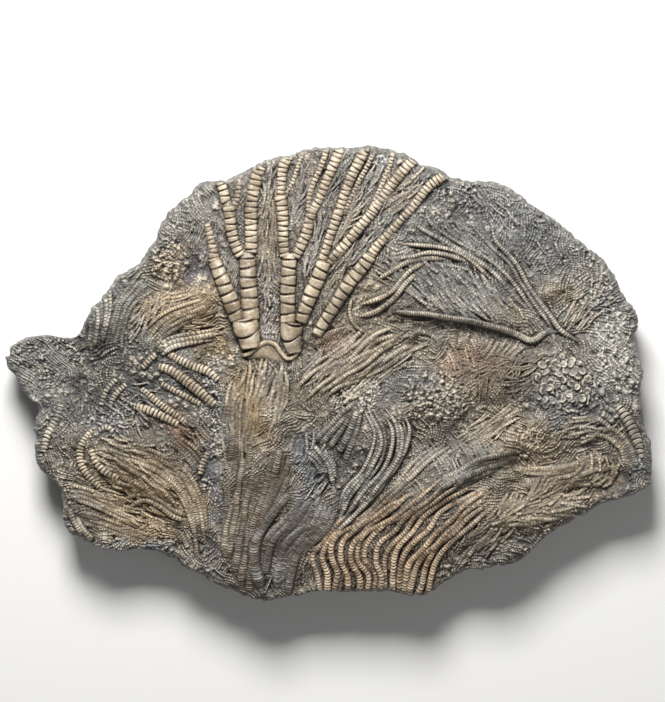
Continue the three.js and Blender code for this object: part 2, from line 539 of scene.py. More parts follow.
@dataclass(frozen=True)
class Weave:
    """How a strand is made.

    Attributes:
        pitch: Rib spacing, mm.
        ribbing: Depth of the groove between ribs, as a share of the radius.
        tone: Its own colour.
        tone_share: How far that colour covers the rock's own.
        lift: Height of its edges above the silt, in radii.
        flat: Its height over its half width.
        bow: How far the ribs bow, in radii.
        grime: Dirt left on it, 0 to 1.
    """

    pitch: float
    ribbing: float
    tone: Tone
    tone_share: float = 0.6
    lift: float = 0.0
    flat: float = 0.9
    bow: float = 0.35
    grime: float = 0.0


GOLD_RIBS = Weave(0.66, 0.44, Tone.WAVE_GOLD, 0.6, 0.15, 0.8, 0.5, 0.08)
TAN_RIBS = Weave(0.60, 0.42, Tone.STRAND_TAN, 0.5, 0.0, 0.7, 0.35, 0.08)
GREY_RIBS = Weave(0.60, 0.40, Tone.STRAND_GREY, 0.45, 0.0, 0.7, 0.35, 0.14)
SLATE_RIBS = Weave(0.54, 0.30, Tone.DEEP_GREY, 0.5, 0.0, 0.5, 0.35, 0.25)
STEM_BUTTS = Weave(0.9, 0.26, Tone.MATRIX_GREY, 0.5)
SHORT_RIBS = Weave(0.8, 0.28, Tone.STRAND_GREY, 0.5, 0.1)
HUB_CORDS = Weave(0.6, 0.3, Tone.STRAND_TAN, 0.35, 0.25)
CREST_RIBS = Weave(0.60, 0.36, Tone.MATRIX_GREY, 0.5, 0.3, 0.9, 0.35, 0.05)
BROWN_RIBS = Weave(0.60, 0.40, Tone.UMBER, 0.5, 0.0, 0.7, 0.35, 0.14)
BEADS = Weave(0.9, 0.46, Tone.WORN_CREAM, 0.3, 0.1, 0.8)
FIBRES = Weave(0.8, 0.12, Tone.HONEY, 0.3, 0.0, 0.7)
RIBBONS = Weave(0.54, 0.42, Tone.UMBER, 0.5, 0.05, 0.42, 0.2, 0.16)
STEM = Weave(0.5, 0.3, Tone.DEEP_GREY, 0.5, 0.3, 0.8, 0.35, 0.12)
TAN_HAIRS = Weave(0.6, 0.26, Tone.STRAND_TAN, 0.45, 0.2, 0.9)
GREY_HAIRS = Weave(0.6, 0.26, Tone.MATRIX_GREY, 0.4, 0.1, 0.9, 0.35, 0.08)
DARK_HAIRS = Weave(0.6, 0.26, Tone.UMBER, 0.5, 0.1, 0.9, 0.35, 0.15)


@dataclass
class Cast:
    """Fine maps of the split face: what has been pressed into it, and then the silt between.

    Attributes:
        ground: The smooth face that heights are measured from.
        rng: Random draws.
        low: Lowest corner of the maps, mm.
        high: Highest corner of the maps, mm.
        cell: Size of a map cell, mm.
        x: Place of every cell along X, mm.
        y: Place of every cell along Y, mm.
        height: Height of what is pressed there over the smooth face, mm.
        own: Linear colour of what is pressed there.
        own_share: How far that colour covers the rock's own, 0 to 1.
        calcite: How far it is calcite, 0 to 1.
        dirt_and_shade: How dark it is painted, 0 to 1: grime and stain, and painted shade in grooves and at
            edges.
        grain: Direction of its grain.
        tint: Colour of the whole face, once it has settled.
        shade: Painted light and shade of each cell, once it has settled: lighter where it stands proud,
            darker in hollows.
    """

    ground: Ground
    rng: np.random.Generator
    low: np.ndarray
    high: np.ndarray
    cell: float = 0.1
    x: np.ndarray = field(init=False)
    y: np.ndarray = field(init=False)
    height: np.ndarray = field(init=False)
    own: np.ndarray = field(init=False)
    own_share: np.ndarray = field(init=False)
    calcite: np.ndarray = field(init=False)
    dirt_and_shade: np.ndarray = field(init=False)
    grain: np.ndarray = field(init=False)
    tint: np.ndarray = field(init=False)
    shade: np.ndarray = field(init=False)

    def __post_init__(self) -> None:
        """Start with nothing pressed."""
        size = np.ceil((self.high - self.low) / self.cell).astype(int) + 1
        line_x, line_y = (self.low[k] + self.cell * np.arange(size[k]) for k in (0, 1))
        self.x, self.y = np.meshgrid(line_x, line_y, indexing="ij")
        self.height = np.full(size, -9.0)
        self.own = np.zeros((*size, 3))
        self.own_share = np.zeros(size)
        self.calcite = np.zeros(size)
        self.dirt_and_shade = np.zeros(size)
        self.grain = np.zeros((*size, 2))

    def press(
        self,
        spots: np.ndarray,
        height: np.ndarray,
        tone: np.ndarray,
        tone_share: float,
        dirt_and_shade: np.ndarray,
        calcite: float,
        way: np.ndarray | None = None,
    ) -> None:
        """Raise the map to the given heights wherever they stand above what is there.

        Args:
            spots: Places, mm.
            height: Height over the ground at each, mm.
            tone: Linear colour at each.
            tone_share: How far that covers the rock's own colour.
            dirt_and_shade: How dark to paint each, 0 to 1: grime and stain, and painted shade.
            calcite: 1 for bare calcite, 0 for rock.
            way: Cosine and sine of twice the direction of the strand at each.
        """
        place = np.round((spots.reshape(-1, 2) - self.low) / self.cell).astype(np.int64)
        inside = ((place >= 0) & (place < self.height.shape)).all(1)
        flat = place[:, 0] * self.height.shape[1] + place[:, 1]
        height = height.ravel()
        kept = np.flatnonzero(inside)
        kept = kept[height[kept] > self.height.reshape(-1)[flat[kept]]]
        kept = kept[np.argsort(height[kept], kind="stable")]
        where = flat[kept]
        self.height.reshape(-1)[where] = height[kept]
        self.own.reshape(-1, 3)[where] = np.broadcast_to(tone, (*spots.shape[:-1], 3)).reshape(-1, 3)[kept]
        self.own_share.reshape(-1)[where] = tone_share
        self.calcite.reshape(-1)[where] = calcite
        self.dirt_and_shade.reshape(-1)[where] = dirt_and_shade.ravel()[kept]
        if way is not None:
            self.grain.reshape(-1, 2)[where] = way.reshape(-1, 2)[kept]

    def press_strand(
        self,
        curve: np.ndarray,
        width: tuple[float, float],
        weave: Weave,
        extra_lift: float = 0.0,
        calcite: float = 0.8,
    ) -> None:
        """Press one ribbed strand.

        Across it the height goes as (1 - t^2.2)^0.55. Along it bars and grooves alternate, each bar a
        little higher or lower than the next and bowed; the middle line waves and the ends sink.

        Args:
            curve: Middle line seen from above, mm.
            width: Width at its start and its end, mm.
            weave: How it is made.
            extra_lift: Height added, mm.
            calcite: How clean of silt it is, 0 to 1.
        """
        length = curve_length(curve)
        along = np.arange(0, length, 0.07)
        middle = along_curve(curve, along)
        side = sides(middle)
        share = along / length
        seed = int(self.rng.integers(9999))
        ends = smooth_step(-0.02, 0.13, share) * smooth_step(-0.02, 0.13, 1 - share)
        radius = 0.5 * np.interp(share, [0, 1], width) * (0.3 + 0.7 * ends)
        radius = radius * self.rng.uniform(0.85, 1.15) * (1 + 0.12 * smooth_noise(along / 2.1,
            along * 0 + 0.5, seed))
        t = np.linspace(-1, 1, max(7, math.ceil(2 * radius.max() / 0.07)))[None, :]
        beat = along[:, None] + weave.bow * radius[:, None] * t * t
        beat = beat / weave.pitch + 0.7 * smooth_noise(along / 4.0, along * 0, seed + 1)[:,
            None] + self.rng.uniform()
        number = np.floor(beat)
        part = beat - number
        bar = smooth_step(0, 0.26, part) * smooth_step(0, 0.26, 1 - part)
        uneven = corner_value(number, number * 0 + seed, 7) - 0.5
        dome = np.clip(1 - np.abs(t) ** 2.2, 0, 1) ** 0.55
        up = radius[:, None] * weave.flat * dome * (1 - weave.ribbing * (1 - bar)) * (1 + 0.4 * uneven)
        wave = 0.42 * radius * smooth_noise(along / 6.0, along * 0, seed + 2)
        lift = (weave.lift + self.rng.uniform(-0.3, 0.3)) * radius + extra_lift
        up = up + (lift + wave - (1 - ends) * radius * 1.2)[:, None]
        spots = middle[:, None, :] + side[:, None, :] * (t * radius[:, None])[..., None]
        tone = linear_rgb(weave.tone) * self.rng.uniform(0.82, 1.18)
        mottle = 1 + 0.6 * uneven + 0.2 * smooth_noise(along / 3.0, along * 0, seed + 3)[:, None]
        # Painted shade in the grooves between ribs and towards the strand's edges; the weave's grime is its
        # own darker colour.
        dirt_and_shade = weave.grime + (1 - bar) * min(1.0, 2.4 * weave.ribbing) + 0.55 * np.abs(t) ** 4
        angle = 2 * np.arctan2(side[:, 0], -side[:, 1])
        way = np.broadcast_to(np.stack([np.cos(angle), np.sin(angle)], -1)[:, None, :], (*up.shape, 2))
        self.press(spots, up, tone * mottle[..., None], weave.tone_share, np.clip(dirt_and_shade, 0, 1), calcite, way)

    def press_arm(self, arm: "Arm") -> None:
        """Press one jointed arm: barrel-shaped segments with bowed, wedge-shaped joints.

        Across it the height goes as the square root of 1 - t^2. A joint bows towards the cup and
        gapes on the left and the right in turn; each segment is a little wider in its middle.

        Args:
            arm: The arm.
        """
        curve = spline(arm.route)
        length = curve_length(curve)
        joints = arm.joint_places(length, self.rng)
        spans = np.diff(joints)
        along = np.arange(0, length, 0.06)
        share = along / length
        middle = along_curve(curve, along)
        side = sides(middle)
        ends = smooth_step(-0.01, 0.035, share) * smooth_step(-0.01, 0.035, 1 - share)
        radius = 0.5 * np.interp(share, np.linspace(0, 1, len(arm.width)), arm.width) * (0.7 + 0.3 * ends)
        t = np.linspace(-1, 1, math.ceil(2 * radius.max() / 0.06))[None, :]
        span_here = np.interp(along, (joints[:-1] + joints[1:]) / 2, spans)[:, None]
        cosine = np.sqrt(np.clip(1 - t * t, 0, 1))
        own_place = along[:, None] + arm.bow_way * arm.bow * span_here * (cosine - 0.4)
        tilt = self.rng.uniform(-1, 1, len(spans) + 1)
        number = np.clip(np.searchsorted(joints, own_place) - 1, 0, len(spans) - 1)
        part = np.clip((own_place - joints[number]) / spans[number], 0, 1)
        close = number + (part > 0.5)
        turn = (-1.0) ** close
        skewed = own_place + 0.09 * span_here * (turn + 0.7 * tilt[close]) * t
        away = np.abs(skewed - joints[close])
        gape = np.clip(0.5 + 0.5 * turn * t + 0.25 * tilt[close], 0, 1)
        gap = (0.15 + 0.15 * gape) * min(1.5, 0.6 + 0.25 * float(spans.mean()))
        cut = 1 - smooth_step(0.3, 1.0, away / gap)
        shoulder = 1 - smooth_step(0.0, 1.0, away / (0.26 * spans[number]))
        uneven = corner_value(number, number * 0 + int(tilt[0] * 999), 5) - 0.5
        reach = np.abs(t) / (1 - 0.07 * shoulder + 0.05 * uneven)
        dome = np.sqrt(np.clip(1 - reach**2, 0, 1)) ** 0.9
        sway = 0.16 * smooth_noise(along / 5.0, along * 0, int(tilt[0] * 999))[:, None]
        up = radius[:, None] * (0.66 * dome * (1 + 0.14 * uneven) * (1 - 0.08 * shoulder) + arm.lift + sway)
        depth = (0.24 + 0.42 * gape) * min(1.3, 0.4 + 0.28 * float(spans.mean()))
        up = up - cut * depth - ((1 - ends) * radius)[:, None]
        up = np.where(reach < 0.999, up, -9.0)
        spots = middle[:, None, :] + side[:, None, :] * (t * radius[:, None])[..., None]
        tone = linear_rgb(arm.tone) * self.rng.uniform(0.94, 1.06)
        stain = rough_noise(spots[..., 0], spots[..., 1], 3.4, 3, 5)
        mottle = 1 + 0.35 * uneven + 0.2 * stain
        # Painted shade in the joints, on the shoulders beside them and towards the arm's edges; the stain
        # is real colour.
        dirt_and_shade = cut * (0.65 + 0.35 * gape) + 0.3 * shoulder + 0.35 * reach**4 + 0.3 * np.clip(stain, 0, 1)
        dirt_and_shade = np.clip(dirt_and_shade, 0, 1)
        angle = 2 * np.arctan2(side[:, 0], -side[:, 1])
        way = np.broadcast_to(np.stack([np.cos(angle), np.sin(angle)], -1)[:, None, :], (*up.shape, 2))
        self.press(spots, up, tone * mottle[..., None], 0.8, dirt_and_shade, 1.0, way)

    def press_field(self, part: "Field") -> None:
        """Press short hair-thin strands over an oval: each an arc that turns by the curl.

        Args:
            part: Where and how.
        """
        share = np.linspace(0, 1, 12)
        tilt = math.radians(part.turn)
        for spot in self._spots(part):
            off = (spot - part.at) @ np.array([-math.sin(tilt), math.cos(tilt)]) / part.reach[1]
            heading = part.heading + part.fan * off + self.rng.normal(0, 0.45 * part.stray)
            heading = heading + 14 * float(smooth_noise(spot[0] / 6, spot[1] / 6, 401))
            bend = self.rng.uniform(-0.5, 0.5) * part.curl + 20
            way = np.radians(heading + bend * (share - 0.5))
            length = part.length * self.rng.uniform(0.8, 1.8)
            curve = np.cumsum(np.stack([np.cos(way), np.sin(way)], axis=-1) * length / len(share), axis=0)
            curve = curve - curve.mean(0) + spot
            width = part.width * self.rng.uniform(0.8, 1.3)
            self.press_strand(curve, (width, width * 0.8), part.weave, self.rng.uniform(-0.05, 0.2), 0.35)

    def press_crust(self, crust: "Crust") -> None:
        """Press angular grains, or round stem joints with a dimple, over an oval.

        A grain is the lowest of a flat top and six sloping facets; a joint is a tilted flat disc
        with a shallow dimple in its middle.

        Args:
            crust: Where and how.
        """
        spots = self._spots(crust)
        count = len(spots)
        size = 0.5 * crust.size * self.rng.uniform(0.45, 1.6, (count, 1, 1))
        line = np.arange(-1.3, 1.31, 0.075 / (0.5 * crust.size * 1.1))
        u, v = (grid[None] for grid in np.meshgrid(line, line, indexing="ij"))
        away = np.hypot(u, v)
        if crust.dimple:
            up = 0.6 - 1.2 * smooth_step(0.78, 1.04, away) - 0.12 * (1 - smooth_step(0.1, 0.5, away))
            up = np.broadcast_to(up, (count, *up.shape[1:]))
        else:
            ways = self.rng.uniform(0, 2 * math.pi, (count, 6))
            steep = self.rng.uniform(0.7, 1.9, (count, 6))
            up = np.full((count, len(line), len(line)), 0.62)
            for k in range(6):
                across = u * np.cos(ways[:, k])[:, None, None] + v * np.sin(ways[:, k])[:, None, None]
                up = np.minimum(up, 1.0 - steep[:, k][:, None, None] * np.abs(across))
            up = np.where(away < 1.2, up, -9)
        tilt, way = self.rng.uniform(0, crust.tilt, (count, 1, 1)), self.rng.uniform(0, 6.28, (count, 1, 1))
        up = up + np.sin(tilt) * (u * np.cos(way) + v * np.sin(way))
        height = size * (up - self.rng.uniform(0.0, 0.8, (count, 1, 1))) + crust.lift
        places = spots[:, None, None, :] + np.stack(np.broadcast_arrays(u, v), -1) * size[..., None]
        tone = linear_rgb(crust.tone) * self.rng.uniform(0.6, 1.35, (count, 1, 1, 1))
        # Painted shade on the low parts of each grain.
        dirt_and_shade = np.where(up < 0.1, 0.45, 0.1)
        tone = np.broadcast_to(tone, (*up.shape, 3))
        self.press(places, height, tone, crust.tone_share, np.broadcast_to(dirt_and_shade, up.shape), 0.35)

    def _spots(self, area: "Crust | Field") -> np.ndarray:
        """Draw places in an oval area, denser towards its middle, and keep those within the rim."""
        turn = math.radians(area.turn)
        reach = np.sqrt(self.rng.uniform(0, 1, area.count))
        way = self.rng.uniform(0, 2 * math.pi, area.count)
        along, across = area.reach[0] * reach * np.cos(way), area.reach[1] * reach * np.sin(way)
        x = area.at[0] + along * math.cos(turn) - across * math.sin(turn)
        y = area.at[1] + along * math.sin(turn) + across * math.cos(turn)
        spots = np.stack([x, y], -1)
        return spots[self.ground.inside(spots, 1.0)]

    def settle(self) -> None:
        """Fill the gaps with silt, and work out the painted light and shade of each spot.

        Silt is rough noise, pebbles and threads, lower between strands that stand close. A spot is
        painted lighter where it stands above the mean of the 0.5 mm, 1.5 mm and 5 mm around it and
        darker where it lies below: painted light and shade, made darker still by grime and painted shade.
        """
        x, y = self.x, self.y
        pressed = (self.height > -1).astype(float)
        crowd = blur(pressed, 9)
        threads, thread_shade, thread_tone = self._threads(x, y)
        lump, number = pebbles(x, y, 1.7, 71)
        grain, tone = pebbles(x, y, 0.8, 83)
        rugged = smooth_step(-0.45, 0.15, rough_noise(x, y, 9.0, 2, 301))
        bare = 1 - smooth_step(0.1, 0.6, crowd)
        block, block_number = pebbles(x, y, 3.9, 91)
        grit = 0.62 * (lump - 0.2) * (0.3 + number) + 0.34 * (grain - 0.25) * (0.3 + tone)
        grit = grit + 0.75 * (block - 0.25) * (0.2 + block_number) * rugged * bare
        creased = 0.20 * rough_noise(x, y, 1.5, 3, 311) + 0.40 * rough_noise(x, y, 4.2, 2, 321)
        gritty = creased + grit * (0.25 + 0.75 * rugged * bare) - 0.30 * crowd
        silt = np.maximum(gritty, threads * (1 - 0.8 * rugged * bare) + 0.7 * creased - 0.1 - 0.2 * crowd)
        woven = (silt > gritty).astype(float)
        shown = self.height > silt
        tint = face_tint(x, y) * (0.82 + 0.36 * np.where(woven > 0, thread_tone, tone))[..., None]
        own = self.own_share[..., None] * shown[..., None]
        self.tint = tint * (1 - own) + self.own * own
        self.calcite = self.calcite * shown
        dirt_and_shade = np.where(shown, self.dirt_and_shade, woven * thread_shade)
        self.height = np.maximum(self.height, silt)
        z = self.height
        # Painted light and shade: lighter on what stands proud, darker in hollows and creases.
        painted_light = 0.66 + 2.0 * (z - blur(z, 2)) + 0.7 * (z - blur(z, 7)) + 0.2 * (z - blur(z, 25))
        painted_light = painted_light * (1 + 0.2 * rough_noise(x, y, 3.2, 4, 331))
        self.shade = np.clip(painted_light, 0.02, 1.3) * (1 - 0.85 * dirt_and_shade)

    def _threads(self, x: np.ndarray, y: np.ndarray) -> tuple[np.ndarray, np.ndarray, np.ndarray]:
        """Hair-thin threads over the whole face, combed cell by cell the way the strands nearby run.

        Places are split into cells about 5 mm across. In a cell they are turned to its own way;
        across it they fall into threads, and along it each thread is ribbed and breaks off.

        Args:
            x: First coordinate, mm.
            y: Second coordinate, mm.

        Returns:
            Height of the threads, mm, the painted shade between their ribs and at their edges, and each
            thread's tone, 0 to 1.
        """
        size = 4.6
        u = (x + 0.9 * smooth_noise(x / 3.3, y / 3.3, 201)) / size
        v = (y + 0.9 * smooth_noise(x / 3.3, y / 3.3, 211)) / size
        cu, cv = np.floor(u), np.floor(v)
        near = np.full(u.shape, 9.0)
        seed_u, seed_v, number = np.zeros(u.shape), np.zeros(u.shape), np.zeros(u.shape)
        for du in (-1, 0, 1):
            for dv in (-1, 0, 1):
                pu = cu + du + corner_value(cu + du, cv + dv, 221)
                pv = cv + dv + corner_value(cu + du, cv + dv, 231)
                away = (u - pu) ** 2 + (v - pv) ** 2
                closer = away < near
                near = np.where(closer, away, near)
                seed_u, seed_v = np.where(closer, pu, seed_u), np.where(closer, pv, seed_v)
                number = np.where(closer, corner_value(cu + du, cv + dv, 241), number)
        cosine, sine = blur(self.grain[..., 0], 22), blur(self.grain[..., 1], 22)
        column = np.clip(((seed_u * size - self.low[0]) / self.cell).astype(int), 0, x.shape[0] - 1)
        row = np.clip(((seed_v * size - self.low[1]) / self.cell).astype(int), 0, x.shape[1] - 1)
        lean = np.sign(smooth_noise(seed_u * size / 14.0, seed_v * size / 14.0,
            281)) * (0.25 + 0.75 * number)
        way = 0.5 * np.arctan2(sine[column, row], cosine[column, row]) + lean
        du, dv = (u - seed_u) * size, (v - seed_v) * size
        along = du * np.cos(way) + dv * np.sin(way)
        across = dv * np.cos(way) - du * np.sin(way) + 0.12 * (number - 0.5) * along * along
        lane = across / 0.66 + 50 * number
        thread = np.floor(lane)
        t = 2 * (lane - thread) - 1
        own = corner_value(thread, thread * 0 + 3, 251)
        piece = np.floor(along / 3.4 + 7 * own)
        kept = corner_value(thread, piece, 261)
        beat = along / 0.58 + 9 * own
        part = beat - np.floor(beat)
        bar = smooth_step(0, 0.32, part) * smooth_step(0, 0.32, 1 - part)
        uneven = corner_value(thread, np.floor(beat), 271)
        dome = np.clip(1 - np.abs(t) ** 2, 0, 1) ** 0.6
        height = dome * (0.26 + 0.30 * kept) * (1 - 0.36 * (1 - bar))
        height = height + 0.14 * (uneven - 0.5) - 0.36 * (kept < 0.22)
        return height, 0.55 * (1 - bar) + 0.5 * np.abs(t) ** 3, 0.5 * own + 0.5 * uneven

    def read(self, layer: np.ndarray, spots: np.ndarray) -> np.ndarray:
        """Read a map at places between its cells, blending the four nearest.

        Args:
            layer: The map, with any number of values in a cell.
            spots: Places, mm.

        Returns:
            The values, one row each.
        """
        place = (spots - self.low) / self.cell
        place = np.clip(place, 0, np.array(layer.shape[:2]) - 1.001)
        index = place.astype(int)
        tu, tv = ((place - index)[:, k].reshape(-1, *[1] * (layer.ndim - 2)) for k in (0, 1))
        i, j = index[:, 0], index[:, 1]
        low = layer[i, j] * (1 - tu) + layer[i + 1, j] * tu
        high = layer[i, j + 1] * (1 - tu) + layer[i + 1, j + 1] * tu
        return low * (1 - tv) + high * tv


# ------------------------------------------------------------------------------------ meshing


def mesh_object(
    name: str, points: np.ndarray, quads: np.ndarray, tris: np.ndarray, uv: np.ndarray, smooth: np.ndarray
) -> bpy.types.Object:
    """Make a mesh object from whole arrays.

    Args:
        name: Name of the piece.
        points: Points, mm.
        quads: Four-cornered faces.
        tris: Three-cornered faces.
        uv: Bake map, one row for each face corner, quads first.
        smooth: Whether each face is shaded smooth, quads first.

    Returns:
        The object, at the origin, linked to the scene.
    """
    mesh = bpy.data.meshes.new(name)
    corners = np.concatenate([quads.ravel(), tris.ravel()]).astype(np.int32)
    totals = np.concatenate([np.full(len(quads), 4), np.full(len(tris), 3)]).astype(np.int32)
    starts = (np.cumsum(totals) - totals).astype(np.int32)
    mesh.vertices.add(len(points))
    mesh.vertices.foreach_set("co", (points * MM).astype(np.float32).ravel())
    mesh.loops.add(len(corners))
    mesh.loops.foreach_set("vertex_index", corners)
    mesh.polygons.add(len(totals))
    mesh.polygons.foreach_set("loop_start", starts)
    mesh.polygons.foreach_set("use_smooth", smooth)
    mesh.update(calc_edges=True)
    mesh.uv_layers.new(name=BAKE_MAP).uv.foreach_set("vector", uv.astype(np.float32).ravel())
    piece = bpy.data.objects.new(name, mesh)
    bpy.context.scene.collection.objects.link(piece)
    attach(piece, BODY)
    LOG.info("%s: %d points, %d triangles", name, len(points), 2 * len(quads) + len(tris))
    return piece


def add_attribute(piece: bpy.types.Object, name: str, values: np.ndarray) -> None:
    """Give each point of a piece a value, or a colour where there are three of them.

    Args:
        piece: The piece.
        name: Name of the attribute.
        values: One row for each point.
    """
    if values.ndim == 1:
        layer = piece.data.attributes.new(name, "FLOAT", "POINT")
        layer.data.foreach_set("value", values.astype(np.float32))
        return
    colours = np.concatenate([values, np.ones((len(values), 1))], axis=1).astype(np.float32)
    piece.data.attributes.new(name, "FLOAT_COLOR", "POINT").data.foreach_set("color", colours.ravel())


# ------------------------------------------------------------------------------------ finishes


def add_node(
    tree: bpy.types.NodeTree, kind: str, settings: dict | None = None, links: dict | None = None
) -> bpy.types.Node:
    """Add a node with its settings and links.

    Args:
        tree: The node tree.
        kind: Blender's name for the node's type.
        settings: Property names, or input names or numbers, with their values.
        links: Input names or numbers, with the output sockets that feed them.

    Returns:
        The node.
    """
    node = tree.nodes.new(kind)
    for key, value in (settings or {}).items():
        if isinstance(key, str) and hasattr(node, key):
            setattr(node, key, value)
        else:
            node.inputs[key].default_value = value
    for key, socket in (links or {}).items():
        tree.links.new(socket, node.inputs[key])
    return node


@dataclass(frozen=True)
class StoneFinish:
    """Split rock with calcite in it: tint, painted light and shade, and calcite come from the mesh; grit
    from here.

    Attributes:
        name: Name of the material.
        rock_roughness: Roughness of the rock.
        calcite_roughness: Roughness of the rubbed calcite.
        ior: Index of refraction; calcite is about 1.58.
        grit_mm: Size of the grit.
        grit_depth_mm: Height of the grit.
        speckle: How much lighter and darker single grains are than the rest.
        worn_and_highlight: Colour of the rubbed crests, also used as their painted highlight.
        worn_and_highlight_share: How far the crests turn to it, by rubbing and by painted highlight.
        groove: Near-black of the painted shade in the grooves.
    """

    name: str
    rock_roughness: float
    calcite_roughness: float
    ior: float
    grit_mm: float
    grit_depth_mm: float
    speckle: float
    worn_and_highlight: Tone
    worn_and_highlight_share: float
    groove: Tone = Tone.SHADOW

    def material(self) -> bpy.types.Material:
        """Find or make the material."""
        return bpy.data.materials.get(self.name) or self._make()

    def _make(self) -> bpy.types.Material:
        """Make the node tree: tint, speckled, painted shade in the grooves, crests pale from rubbing and
        painted highlight.
        """
        material = bpy.data.materials.new(self.name)
        material.use_nodes = True
        tree = material.node_tree
        tree.nodes.clear()
        place = add_node(tree, "ShaderNodeTexCoord").outputs["Object"]
        tint = add_node(tree, "ShaderNodeAttribute", {"attribute_name": "tint"}).outputs["Color"]
        shade = add_node(tree, "ShaderNodeAttribute", {"attribute_name": "shade"}).outputs["Fac"]
        calcite = add_node(tree, "ShaderNodeAttribute", {"attribute_name": "calcite"}).outputs["Fac"]
        per_metre = 1 / (self.grit_mm * MM)
        grit = add_node(
            tree, "ShaderNodeTexNoise", {"Scale": per_metre, "Detail": 3.0, "Roughness": 0.65},
                {"Vector": place}
        ).outputs["Fac"]
        grains = add_node(tree, "ShaderNodeTexVoronoi", {"Scale": per_metre * 0.8}, {"Vector": place})
        grain_value = add_node(tree, "ShaderNodeSeparateColor", {},
            {"Color": grains.outputs["Color"]}).outputs[0]
        spread = {"To Min": 1 - self.speckle, "To Max": 1 + self.speckle}
        sparkle = add_node(tree, "ShaderNodeMapRange", spread, {"Value": grain_value}).outputs[0]
        spread = {"From Min": 0.28, "From Max": 0.72, **spread}
        cloud = add_node(tree, "ShaderNodeMapRange", spread, {"Value": grit}).outputs[0]
        rough_light = add_node(
            tree, "ShaderNodeMath", {"operation": "MULTIPLY"}, {0: sparkle, 1: cloud}
        ).outputs[0]
        smooth = add_node(
            tree, "ShaderNodeMath", {"operation": "MULTIPLY", 1: 0.6}, {0: calcite}
        ).outputs[0]
        light = add_node(
            tree, "ShaderNodeMix", {"data_type": "FLOAT", 3: 1.0}, {0: smooth, 2: rough_light}
        ).outputs[0]
        speckled = add_node(
            tree, "ShaderNodeVectorMath", {"operation": "SCALE"}, {0: tint, "Scale": light}
        ).outputs[0]
        # Rubbing and painted highlight: the more open a spot lies to the light, the paler it turns.
        wear_and_highlight = add_node(
            tree,
            "ShaderNodeMapRange",
            {"From Min": 0.74, "From Max": 1.12, "To Min": 0.0, "To Max": self.worn_and_highlight_share},
            {"Value": shade},
        ).outputs[0]
        wear_and_highlight_here = add_node(
            tree, "ShaderNodeMath", {"operation": "MULTIPLY"}, {0: wear_and_highlight, 1: cloud}
        ).outputs[0]
        # Mix toward the pale crest colour: rubbing and painted highlight.
        rubbed = add_node(
            tree,
            "ShaderNodeMix",
            {"data_type": "RGBA", 7: (*linear_rgb(self.worn_and_highlight), 1.0)},
            {0: wear_and_highlight_here, 6: speckled},
        ).outputs[2]
        # Painted shade: the less open a spot, the more it turns to the near-black groove colour.
        depth = add_node(
            tree,
            "ShaderNodeMapRange",
            {"From Min": 0.05, "From Max": 0.86, "To Min": 0.9, "To Max": 0.0},
            {"Value": shade},
        ).outputs[0]
        settled = add_node(
            tree,
            "ShaderNodeMix",
            {"data_type": "RGBA", 7: (*linear_rgb(self.groove), 1.0)},
            {0: depth, 6: rubbed},
        ).outputs[2]
        relief = add_node(
            tree, "ShaderNodeMath", {"operation": "MULTIPLY_ADD", 1: 0.7}, {0: grains.outputs["Distance"],
                2: grit}
        ).outputs[0]
        relief = add_node(
            tree, "ShaderNodeMix", {"data_type": "FLOAT", 3: 0.6}, {0: smooth, 2: relief}
        ).outputs[0]
        bump = add_node(
            tree, "ShaderNodeBump", {"Strength": 1.0, "Distance": self.grit_depth_mm * MM},
                {"Height": relief}
        ).outputs[0]
        gloss = add_node(
            tree,
            "ShaderNodeMix",
            {"data_type": "FLOAT", 2: self.rock_roughness, 3: self.calcite_roughness},
            {0: calcite},
        ).outputs[0]
        gloss = add_node(
            tree, "ShaderNodeMath", {"operation": "MULTIPLY_ADD", 1: 0.35}, {0: grit, 2: gloss}
        ).outputs[0]
        shader = add_node(
            tree,
            "ShaderNodeBsdfPrincipled",
            {"IOR": self.ior, "Metallic": 0.0},
            {"Base Color": settled, "Roughness": gloss, "Normal": bump},
        )
        add_node(tree, "ShaderNodeOutputMaterial", {}, {"Surface": shader.outputs[0]})
        return material


# Weathered shaly limestone, split and left rough: dull and speckled. The calcite of the fossils in
# it was cleaned and rubbed, and has a low sheen.
SPLIT_LIMESTONE = StoneFinish("split_limestone", 0.46, 0.24, 1.57, 0.42, 0.20, 0.40, Tone.WORN_CREAM, 0.50)


# ----------------------------------------------------------------------- what the rock carries


@dataclass(frozen=True)
class Arm:
    """A jointed arm of the crown.

    Attributes:
        route: Middle line from the cup outwards, mm.
        width: Widths spread evenly along it, mm.
        segment: Segment lengths at its start and its end, mm.
        bow: How far each joint bows, as a share of a segment.
        bow_way: 1 where the joints bow towards the cup, -1 away from it.
        lift: Height of its middle above the ground, in radii.
        tone: Its colour.
    """

    route: Route
    width: tuple[float, ...]
    segment: tuple[float, float]
    bow: float = 0.12
    bow_way: float = 1.0
    lift: float = 0.2
    tone: Tone = Tone.PLATE_GOLD

    def joint_places(self, length: float, rng: np.random.Generator) -> np.ndarray:
        """Distances of the joints from the arm's start, segments going evenly from first to last."""
        count = max(1, round(length / (0.5 * (self.segment[0] + self.segment[1]))))
        sizes = np.linspace(self.segment[0], self.segment[1], count) * rng.uniform(0.92, 1.08, count)
        places = np.concatenate([[0.0], np.cumsum(sizes)])
        return places * length / places[-1]


